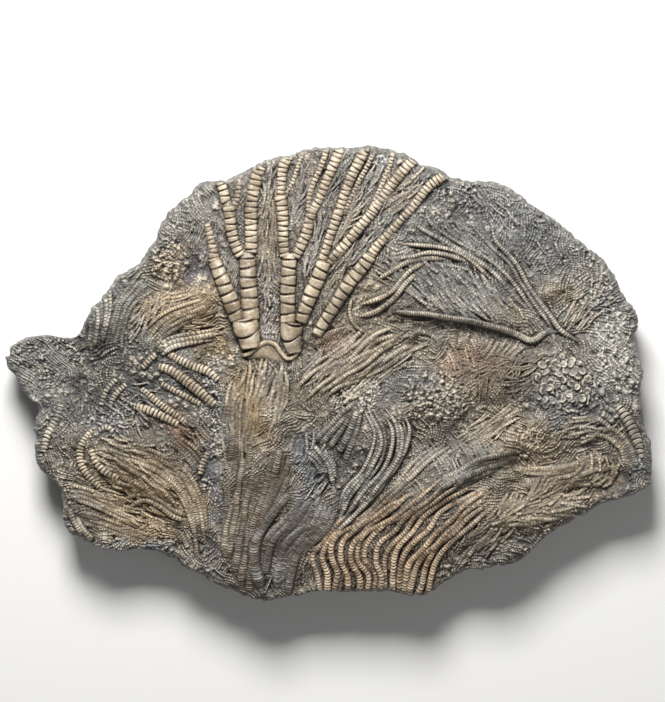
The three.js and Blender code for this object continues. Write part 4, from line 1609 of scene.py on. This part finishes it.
@dataclass
class HangingStrands(Bed):
    """The middle and the lower edge: ropes from the cup, the fan of the hub and the wavy arms."""

    name: str = "hanging"
    sheaves: tuple[Sheaf, ...] = (
        # Ropes that climb from the cup to the terrace.
        Sheaf((((-9.4, -4.8), (-3, 1.5), (3, 6.6), (8, 10), (13, 11.6)), ((-7, -6.6), (0, -1.4), (6, 2.6),
            (12, 6.4), (18, 10)), ((-5.6, -8), (2, -3.6), (9, 0.2), (16, 4.6), (22, 8.4))), 14, (0.8, 1.2),
            HUB_CORDS, 0.8, 0.3, 0.1),
        Sheaf((((-2.6, 8), (1, 9.6), (4, 10.6)), ((-4, 5.6), (0.6, 8.2), (5, 9.4))), 4, (0.9, 0.8),
            BROWN_RIBS, 0.2, 0.1),
        # Broad, flat strands under the cup.
        Sheaf((((-22.6, -11), (-23.4, -26), (-24.8, -38), (-25.6, -46.5)), ((-15.6, -11), (-18, -26),
            (-20.8, -38), (-22, -52)), ((-10.4, -12), (-12.6, -24), (-16.4, -36), (-18, -44), (-18.6,
            -54)), ((-6.8, -13.6), (-8.4, -21), (-11.4, -28), (-15.6, -36), (-17, -44), (-16, -54))), 13,
            (1.5, 2.1), RIBBONS, 0.5, 0.2),
        Sheaf((((-20.6, -26), (-22.6, -31), (-24, -37), (-24.6, -42)),), 1, (1.0, 1.4), TAN_RIBS, 0.1, 0,
            0.25),
        Sheaf((((-7.3, -26.3), (-11.5, -30.6), (-15.1, -35.5), (-17.2, -39.8), (-16.8, -45.4), (-15.4,
            -51)),), 1, (1.5, 2.8), SLATE_RIBS, 0.1, 0, 0.35),
        Sheaf((((-5, -26.6), (-9, -32.6), (-14.2, -39), (-16, -50)), ((1.6, -28), (0, -35), (-6, -42.6),
            (-9, -54))), 9, (1.6, 1.9), SLATE_RIBS, 0.5, 0.1),
        Sheaf((((-2.7, -29.9), (-3.8, -35.5), (-8, -39.8), (-11.5, -44), (-14.7, -51)),), 1, (0.7, 0.5),
            GREY_RIBS, 0.3, 0, 0.35),
        # The fan of the hub.
        Sheaf((((6.4, -6.2), (1.6, -10.4), (-4, -16.6)), ((6.8, -6.8), (3.4, -12.6), (-0.6, -18.6)), ((7.4,
            -7.6), (6, -13.6), (3.4, -21))), 5, (1.3, 1.6), GREY_RIBS, 0.4, 0.12, 0.1),
        Sheaf((((7.5, -8), (10.3, -14.3), (7.5, -22.8), (3.3, -27.8), (1.6, -34)), ((9.6, -8), (12.6, -16),
            (10.3, -22.8), (6.1, -29.2), (1.9, -35.8)), ((12.6, -7.4), (16.4, -13), (16, -19.6), (11.4,
            -25.6), (4.4, -33.4)), ((17, -8), (19, -13), (16.4, -20.6), (10, -28.4), (-0.4, -38.6))), 9,
            (0.9, 1.1), CREST_RIBS, 0.6, 0.12, 0.35),
        Sheaf((((28, -14), (20.2, -20.4), (13.9, -26.3), (7.5, -32.7), (-0.6, -41.6)), ((32, -15.6), (24,
            -21.6), (16.4, -28), (9.4, -34), (2, -41))), 4, (1.0, 1.3), TAN_RIBS, 0.4, 0.1, 0.15),
        Sheaf((((-6.4, -17), (-3.4, -20.6), (-1.6, -25.6)), ((-2, -16), (0.4, -20), (2, -27))), 6, (1.0,
            1.1), CREST_RIBS, 0.7, 0.25, 0.25),
        # Arms that sweep in from the right and hang over the lower edge in waves.
        Sheaf(
            (
                ((16, -25.4), (8.4, -31), (1.6, -35.2), (-1.6, -38.4), (-3.4, -42.4), (-2.2, -46.6), (-2.6,
                    -57)),
                ((21, -25), (12.6, -31.6), (6, -35.4), (2.2, -39), (1.4, -43.4), (3, -47.4), (1.4, -57)),
                ((27, -23.4), (18, -30), (10.6, -35.6), (6.6, -39.4), (6.2, -43.6), (7.8, -47.4), (5.6,
                    -57)),
                ((32, -23.4), (23, -30), (15.6, -35.8), (11.2, -40.2), (10.4, -44), (12, -47.6), (10, -57)),
                ((37, -24), (28, -30), (20.4, -36), (15.8, -41.4), (15, -45.4), (15.4, -56)),
                ((41, -25.6), (32.6, -31.4), (25, -37.4), (20.6, -42.6), (19, -46.4), (19.2, -56)),
                ((42, -29), (35, -33.6), (29, -38.4), (25, -43), (23, -47), (22, -56)),
            ), 15, (0.9, 1.6), GOLD_RIBS, 1.1, 0.1, 0.1,
        ),
        # The bundle over them, and the brush above it.
        Sheaf((((21, -27.6), (26, -24.4), (31, -21.6), (37, -19.6), (46, -17.6)), ((23, -31), (28, -27.6),
            (33.6, -24.6), (40, -22), (47, -20.4))), 6, (1.5, 1.1), GREY_RIBS, 0.6, 0.3, 0.1),
        Sheaf((((29.6, -17), (33, -14.4), (37, -11.4), (41, -8), (45, -5.4)), ((31, -18), (36, -15.6), (41,
            -12), (46, -9.4))), 8, (0.7, 0.8), TAN_RIBS, 0.4, 0.2, 0.15),
        # The golden band to the right rim.
        Sheaf((((41, -21.6), (48, -22), (55, -21.4), (61, -19.4), (66, -17.6)), ((42, -25.4), (49, -26.4),
            (56, -25.6), (62, -23.6), (67, -22.4), (68.4, -26.4))), 10, (0.9, 1.1), TAN_RIBS, 0.6, 0.2),
        Sheaf((((40.6, -29), (46, -30), (52, -29.4), (58, -28)), ((40, -36), (46, -34.6), (52, -33), (59,
            -31))), 8, (1.1, 1.1), BROWN_RIBS, 0.6, 0.2),
        Sheaf((((30.4, -43.6), (33, -40), (36, -37)), ((33, -42.6), (35.6, -39.6), (38.4, -37.4))), 3,
            (1.1, 1.1), TAN_RIBS, 0.2, 0.1),
    )  # fmt: skip
    fields: tuple[Field, ...] = (
        Field((29, -18.6), (8, 3), 18, 90, 112, 0, 6, 3.6, 0.45, GREY_HAIRS, 12),
        Field((19, -29), (4, 3), 35, 40, 118, 0, 8, 3.2, 0.45, TAN_HAIRS, 12),
        Field((-3, -21), (8, 3.4), 85, 30, 66, 20, 16, 3.4, 0.6, GREY_HAIRS, 20),
        Field((12, 2), (11, 4), 35, 80, 34, 0, 14, 4.2, 0.6, TAN_HAIRS, 20),
        Field((0, 3), (7, 3), 40, 40, 36, 0, 14, 3.8, 0.55, GREY_HAIRS, 20),
        Field((49, -30.6), (11, 5), 15, 130, 24, 40, 20, 4.0, 0.7, TAN_HAIRS, 30),
        Field((62, -23), (5, 4), 0, 40, 60, 60, 40, 3.0, 0.7, TAN_HAIRS, 50),
        Field((6, -45), (14, 5), 0, 40, 88, 0, 14, 4.0, 0.6, DARK_HAIRS, 30),
        Field((37, -37), (6, 4), 30, 50, 40, 0, 30, 3.2, 0.65, DARK_HAIRS, 40),
        Field((35, -14), (7, 3), 30, 44, 36, 0, 20, 3.4, 0.5, TAN_HAIRS, 30),
    )
    crusts: tuple[Crust, ...] = (
        Crust((6, -5.6), (6, 4), 20, 150, 1.0, Tone.PALE_GRIT, 0.5, False, 0.8, 0.15),
        Crust((-4.6, -22), (2.4, 7), -10, 60, 0.9, Tone.BLUE_GREY, 0.5),
        Crust((47, -32), (11, 5), 18, 150, 1.1, Tone.PLATE_GOLD, 0.4),
        Crust((46, -40), (12, 3), 25, 130, 1.1, Tone.DEEP_GREY, 0.5),
        Crust((31, -45.5), (8, 2.4), 10, 60, 1.0, Tone.MATRIX_GREY, 0.4),
        Crust((8, -48), (10, 2.4), 0, 40, 0.9, Tone.DEEP_GREY, 0.4),
        Crust((56, -31), (7, 3), 20, 70, 1.1, Tone.STRAND_TAN, 0.4),
    )


# Names of the blocks that the stone is cut into: rows from below, columns from the left.
ROW_NAMES = ("lower", "upper")
COLUMN_NAMES = ("left", "inner_left", "middle", "inner_right", "right")


@dataclass
class Slab:
    """The stone itself: its face raised to the cast, its broken rim and its flat underside.

    It is made of ten closed blocks that meet exactly, so that each stays a moderate mesh.

    Attributes:
        cast: The split face.
        cells: Face cells along the two sides of the square that is bent into the rim's outline.
        blocks: Blocks along those sides.
        wall: Section of the rim: share of the way out, share of the height there.
        face_share: How far out the face goes, as a share of the way.
    """

    cast: Cast
    cells: tuple[int, int] = (940, 840)
    blocks: tuple[int, int] = (5, 2)
    wall: tuple[Point, ...] = (
        (0.993, 0.95), (1.000, 0.88), (1.003, 0.79), (1.003, 0.69), (1.001, 0.59), (0.998, 0.49),
        (0.995, 0.39), (0.991, 0.29), (0.986, 0.19), (0.979, 0.10), (0.970, 0.03), (0.962, 0.0),
    )  # fmt: skip
    face_share: float = 0.985

    def build(self) -> list[bpy.types.Object]:
        """Make every block.

        Returns:
            The pieces, each of which stands for the slab's solid.
        """
        columns, rows = (np.linspace(0, self.cells[k], self.blocks[k] + 1).astype(int) for k in (0, 1))
        pieces = []
        for i in range(self.blocks[0]):
            for j in range(self.blocks[1]):
                name = f"slab_{ROW_NAMES[j]}_{COLUMN_NAMES[i]}"
                pieces.append(self._block(name, (columns[i], columns[i + 1]), (rows[j], rows[j + 1])))
        return pieces

    def _block(self, name: str, span_a: tuple[int, int], span_b: tuple[int, int]) -> bpy.types.Object:
        """Make one block: a patch of the face, a wall all round it and a flat underside.

        Args:
            name: Its name.
            span_a: First and last grid line across.
            span_b: First and last grid line up.

        Returns:
            The piece.
        """
        a = 2 * np.arange(span_a[0], span_a[1] + 1) / self.cells[0] - 1
        b = 2 * np.arange(span_b[0], span_b[1] + 1) / self.cells[1] - 1
        wide, high = len(a), len(b)
        a, b = (grid.ravel() for grid in np.meshgrid(a, b, indexing="ij"))
        ring = np.maximum(np.abs(a), np.abs(b))
        around = self._around(a, b)
        rim = self._broken_rim(around)
        flat = HUB + (ring * self.face_share)[:, None] * (rim - HUB)
        top = np.column_stack([flat, self._height(flat, ring)])
        index = np.arange(wide * high).reshape(wide, high)
        quads = np.stack([index[:-1, :-1], index[1:, :-1], index[1:, 1:], index[:-1, 1:]], -1).reshape(-1,
            4)
        loop = np.concatenate([index[:-1, 0], index[-1, :-1], index[:0:-1, -1], index[0, :0:-1]])
        edge = ring[loop] > 1 - 1e-9
        ways = self.cast.ground.outward(around[loop]) * self._squareness(rim[loop], around[loop])[:, None]
        plain = self.cast.ground.rim(around[loop]) - 0.4 * self.cast.ground.outward(around[loop])
        run = curve_length(self.cast.ground.rim_curve) * np.mod(around[loop], 1)
        rows = [self._wall_row(top[loop], rim[loop], plain, ways, run, ring[loop],
            part) for part in self.wall]
        below = len(top) + np.arange(len(rows) * len(loop)).reshape(len(rows), len(loop))
        rings = np.vstack([loop[None], below])
        beside = np.roll(rings, -1, axis=1)
        skirt = np.stack([rings[:-1], rings[1:], beside[1:], beside[:-1]], -1).reshape(-1, 4)
        margin = 24
        across, up = (np.linspace(margin, size - 1 - margin, count).astype(int) for size, count in ((wide,
            9), (high, 17)))
        within = top[index[np.ix_(across, up)].ravel()] * [1, 1, 0]
        inner = len(top) + below.size + np.arange(len(within)).reshape(len(across), len(up))
        fan = self._underside(rings[-1], inner, (wide - 1, high - 1), margin)
        points = np.vstack([top, *rows, within])
        uv = self._bake_map(points, quads, skirt, fan, rings)
        outer = np.tile(edge & np.roll(edge, -1), len(rows))
        smooth = np.concatenate([np.ones(len(quads), bool), outer, np.zeros(len(fan), bool)])
        piece = mesh_object(name, points, np.vstack([quads, skirt]), fan, uv, smooth)
        cast = self.cast
        rest = points[len(top) :]
        u = np.concatenate([np.tile(run, len(self.wall)), within[:, 0]])
        v = np.concatenate([rest[: below.size, 2], within[:, 1]])
        rock = face_tint(rest[:, 0], rest[:, 1]) * 0.4 + linear_rgb(Tone.MATRIX_GREY) * 0.6
        lump, number = pebbles(u, v, 1.7, 103)
        rock = rock * (0.8 + 0.4 * number)[:, None]
        add_attribute(piece, "tint", np.vstack([cast.read(cast.tint, flat), rock]))
        # Painted shade along the pebble joints of the wall and underside, and painted highlight on the
        # pebbles' middles.
        shade = np.clip(0.45 + 0.7 * lump, 0.2, 1.1)
        add_attribute(piece, "shade", np.concatenate([cast.read(cast.shade, flat), shade]))
        add_attribute(piece, "calcite", np.concatenate([cast.read(cast.calcite, flat),
            np.zeros(len(rest))]))
        piece.data.materials.append(SPLIT_LIMESTONE.material())
        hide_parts(SLAB_NODE)
        return piece

    @staticmethod
    def _around(a: np.ndarray, b: np.ndarray) -> np.ndarray:
        """Where on the rim a place of the square points, as a share of the way round.

        The square's point at distance m from its middle, along its larger side, goes to the ring m
        of a disc, and each disc direction runs to its own place on the rim.

        Args:
            a: Place across the square, -1 to 1.
            b: Place up the square, -1 to 1.

        Returns:
            Shares, clockwise from the left tip.
        """
        wide = np.abs(a) > np.abs(b)
        with np.errstate(divide="ignore", invalid="ignore"):
            eighth = np.nan_to_num(np.where(wide, b / a, a / b)) * math.pi / 4
        way = np.where(wide, np.where(a > 0, eighth, eighth + math.pi), math.pi / 2 - eighth)
        way = np.where(~wide & (b < 0), way + math.pi, way)
        return (math.pi - way) / (2 * math.pi)

    def _broken_rim(self, around: np.ndarray) -> np.ndarray:
        """The rim's outline with chips: pushed in and out by noise 5 mm and 1.6 mm long."""
        rim = self.cast.ground.rim(around)
        x, y = rim[:, 0], rim[:, 1]
        chips = 0.45 * rough_noise(x, y, 5.0, 2, 61) + 0.24 * rough_noise(x, y, 1.6, 2, 67)
        chips = np.clip(0.35 + chips, 0, 1.2) * self._squareness(rim, around)
        return rim - self.cast.ground.outward(around) * chips[:, None]

    def _squareness(self, rim: np.ndarray, around: np.ndarray) -> np.ndarray:
        """How square the rim is to the ray from the hub: 0 where it runs along it, 1 from 45 degrees."""
        ray = (rim - HUB) / np.linalg.norm(rim - HUB, axis=1, keepdims=True)
        return smooth_step(0.2, 0.7, (ray * self.cast.ground.outward(around)).sum(1))

    def _height(self, flat: np.ndarray, ring: np.ndarray) -> np.ndarray:
        """Height of the face: ground plus cast, rounded off at the rim.

        Args:
            flat: Places, mm.
            ring: How far out each lies, 0 to 1.

        Returns:
            Heights, mm.
        """
        x, y = flat[:, 0], flat[:, 1]
        fall = 0.5 * smooth_step(0.975, 1.0, ring) * (0.6 + 0.5 * smooth_noise(x / 2.2, y / 2.2, 91))
        return self.cast.ground.height(x, y) + self.cast.read(self.cast.height, flat) - fall

    @staticmethod
    def _underside(border: np.ndarray, inner: np.ndarray, sides: tuple[int, int],
        margin: int) -> np.ndarray:
        """Flat triangles that face down, between the foot of the wall and a coarse grid within it.

        Args:
            border: Point numbers of the foot of the wall.
            inner: Point numbers of the coarse grid, across and up.
            sides: Cells along the block's two sides.
            margin: Cells between the border and the coarse grid.

        Returns:
            The triangles.
        """
        own = np.concatenate([inner[:-1, 0], inner[-1, :-1], inner[:0:-1, -1], inner[0, :0:-1]])
        steps, start = [], 0
        for k in range(4):
            length, count = sides[k % 2], inner.shape[k % 2] - 1
            place = np.clip((np.arange(length) - margin) / (length - 2 * margin), 0, 1)
            steps.append(start + np.round(place * count).astype(int))
            start += count
        near = np.concatenate(steps)
        ahead = np.append(near[1:], start)
        beside = np.roll(border, -1)
        here, there = own[near % start], own[ahead % start]
        band = np.stack([border, here, beside], -1)
        wedge = np.stack([beside, here, there], -1)[ahead > near]
        low, high = inner[:-1, :-1], inner[1:, 1:]
        left = np.stack([low, inner[:-1, 1:], high], -1).reshape(-1, 3)
        right = np.stack([low, high, inner[1:, :-1]], -1).reshape(-1, 3)
        return np.vstack([band, wedge, left, right])

    def _wall_row(
        self,
        top: np.ndarray,
        rim: np.ndarray,
        plain: np.ndarray,
        ways: np.ndarray,
        run: np.ndarray,
        ring: np.ndarray,
        part: Point,
    ) -> np.ndarray:
        """One row round a block: facets 5 mm and pits 1.9 mm across on the rim, straight down within.

        Going down, the chips of the rim and the relief of the face die away. In the last tenth of
        the way out the borders between blocks turn to follow the rim, so that none stands proud.

        Args:
            top: The block's border on the face, mm.
            rim: The chipped rim there, mm.
            plain: The rim without its chips, mm.
            ways: Directions square to the rim, shorter where it runs along the ray from the hub.
            run: How far along the rim each point lies, mm.
            ring: How far out each point of the border lies, 0 to 1.
            part: Share of the way out, and share of the height.

        Returns:
            Its points.
        """
        out, share = part
        swell = self.cast.ground.swells(top[:, 0], top[:, 1]) - SINK
        z = share * (top[:, 2] * share + swell * (1 - share))
        near = smooth_step(0.9, 1.0, ring)[:, None]
        outline = rim + (plain - rim) * near * (1 - share**0.5)
        dent = 0.6 * rough_noise(run, z, 5.0, 2, 101) + 0.28 * (pebbles(run, z, 1.9, 103)[0] - 0.4)
        dent = np.minimum(dent, 0.35)[:, None] * min(1.0, share * 5) * near
        out = self.face_share + (out - self.face_share) * near
        return np.column_stack([HUB + ring[:, None] * out * (outline - HUB) + ways * dent, z])

    def _bake_map(
        self, points: np.ndarray, quads: np.ndarray, skirt: np.ndarray, fan: np.ndarray, rings: np.ndarray
    ) -> np.ndarray:
        """Bake map of a block: its face from above, its wall in four strips, its underside small.

        Args:
            points: All points, mm.
            quads: Faces of the top.
            skirt: Faces of the wall; not used.
            fan: Faces of the underside.
            rings: Point numbers of every row from the border down.

        Returns:
            One row for each face corner.
        """
        low, high = points[:, :2].min(0), points[:, :2].max(0)
        scale = min(0.99 / (high[0] - low[0]), 0.74 / (high[1] - low[1]))
        top = (points[quads.ravel(), :2] - low) * scale + [0.005, 0.255]
        columns, strips = rings.shape[1], 4
        per_strip = math.ceil(columns / strips)
        column = np.tile(np.arange(columns), rings.shape[0] - 1)
        row = np.repeat(np.arange(rings.shape[0] - 1), columns)
        strip = column // per_strip
        u = (column - strip * per_strip)[:, None] + np.array([0, 0, 1, 1])
        v = row[:, None] + np.array([0, 1, 1, 0])
        wall = np.stack(
            [0.26 + 0.73 * u / per_strip, 0.005 + 0.06 * strip[:, None] + 0.055 * v / len(self.wall)], -1
        )
        under = (points[fan.ravel(), :2] - low) * min(0.24 / (high[0] - low[0]),
            0.24 / (high[1] - low[1])) + 0.005
        return np.vstack([top, wall.reshape(-1, 2), under])


# ------------------------------------------------------------------------------------- studio


@dataclass
class Studio:
    """A pale table, soft light from above the arms, and a camera straight over the face.

    Attributes:
        over: Place that the camera looks down on, mm.
        frame_height: Height of what it sees at the face, mm.
        distance: Its height over the face, mm.
        face_height: Height of the face over the table, mm.
    """

    over: Point = (0.8, 5.1)
    frame_height: float = 163.5
    distance: float = 620.0
    face_height: float = 8.0

    def build(self) -> None:
        """Set the table, the lights, the sky and the camera."""
        self._table()
        self._softbox("key_light", (-70, 390, 350), (0, 0, 5), 210, 5.7)
        self._softbox("fill_light", (260, -300, 420), (0, 0, 5), 400, 0.5)
        world = bpy.data.worlds.new("soft_sky")
        world.use_nodes = True
        world.node_tree.nodes["Background"].inputs["Color"].default_value = (0.93, 0.96, 1.0, 1.0)
        world.node_tree.nodes["Background"].inputs["Strength"].default_value = 0.12
        bpy.context.scene.world = world
        bpy.context.scene.view_settings.view_transform = "Standard"
        self._camera()

    def _table(self) -> None:
        """A pale, matt table top 1.6 m wide."""
        half = 0.8
        mesh = bpy.data.meshes.new("table_top")
        mesh.from_pydata([(-half, -half, 0), (half, -half, 0), (half, half, 0), (-half, half, 0)], [], [(0,
            1, 2, 3)])
        material = bpy.data.materials.new("matt_paper")
        material.use_nodes = True
        shader = material.node_tree.nodes["Principled BSDF"]
        shader.inputs["Base Color"].default_value = (0.72, 0.71, 0.69, 1.0)
        shader.inputs["Roughness"].default_value = 0.85
        mesh.materials.append(material)
        table = bpy.data.objects.new("table_top", mesh)
        bpy.context.scene.collection.objects.link(table)

    @staticmethod
    def _softbox(name: str, at: tuple, towards: tuple, size: float, power: float) -> None:
        """Hang a square soft light.

        Args:
            name: Its name.
            at: Where, mm.
            towards: What it faces, mm.
            size: Its side, mm.
            power: Its power, watts.
        """
        light = bpy.data.lights.new(name, "AREA")
        light.size = size * MM
        light.energy = power
        lamp = bpy.data.objects.new(name, light)
        lamp.location = [value * MM for value in at]
        way = np.array(towards, float) - np.array(at, float)
        lamp.rotation_euler = (
            math.atan2(math.hypot(way[0], way[1]), -way[2]),
            0.0,
            math.atan2(way[1], way[0]) - math.pi / 2,
        )
        bpy.context.scene.collection.objects.link(lamp)

    def _camera(self) -> None:
        """Put the camera straight over the face, its long side along Y."""
        data = bpy.data.cameras.new("camera")
        data.sensor_fit = "AUTO"
        data.lens = data.sensor_width * self.distance / self.frame_height
        data.clip_start, data.clip_end = 0.01, 10.0
        camera = bpy.data.objects.new("camera", data)
        camera.location = (self.over[0] * MM, self.over[1] * MM, (self.face_height + self.distance) * MM)
        bpy.context.scene.collection.objects.link(camera)
        bpy.context.scene.camera = camera


SEED = 20


def main() -> None:
    """Press the fossils, raise the slab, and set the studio."""
    logging.basicConfig(level=logging.INFO, format="%(message)s")
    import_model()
    Studio().build()
    low, high = (np.array(corner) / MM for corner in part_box(SLAB_NODE))
    cast = Cast(Ground(low, high), np.random.default_rng(SEED), low[:2] - 2, high[:2] + 2)
    for bed in (Crown(), SeaOfArcs(), Rosettes(), LeftSheaves(), HangingStrands()):
        bed.press(cast)
        LOG.info("%s is pressed", bed.name)
    cast.settle()
    for piece in Slab(cast).build():
        LOG.info("%s is made", piece.name)


if __name__ == "__main__":
    main()
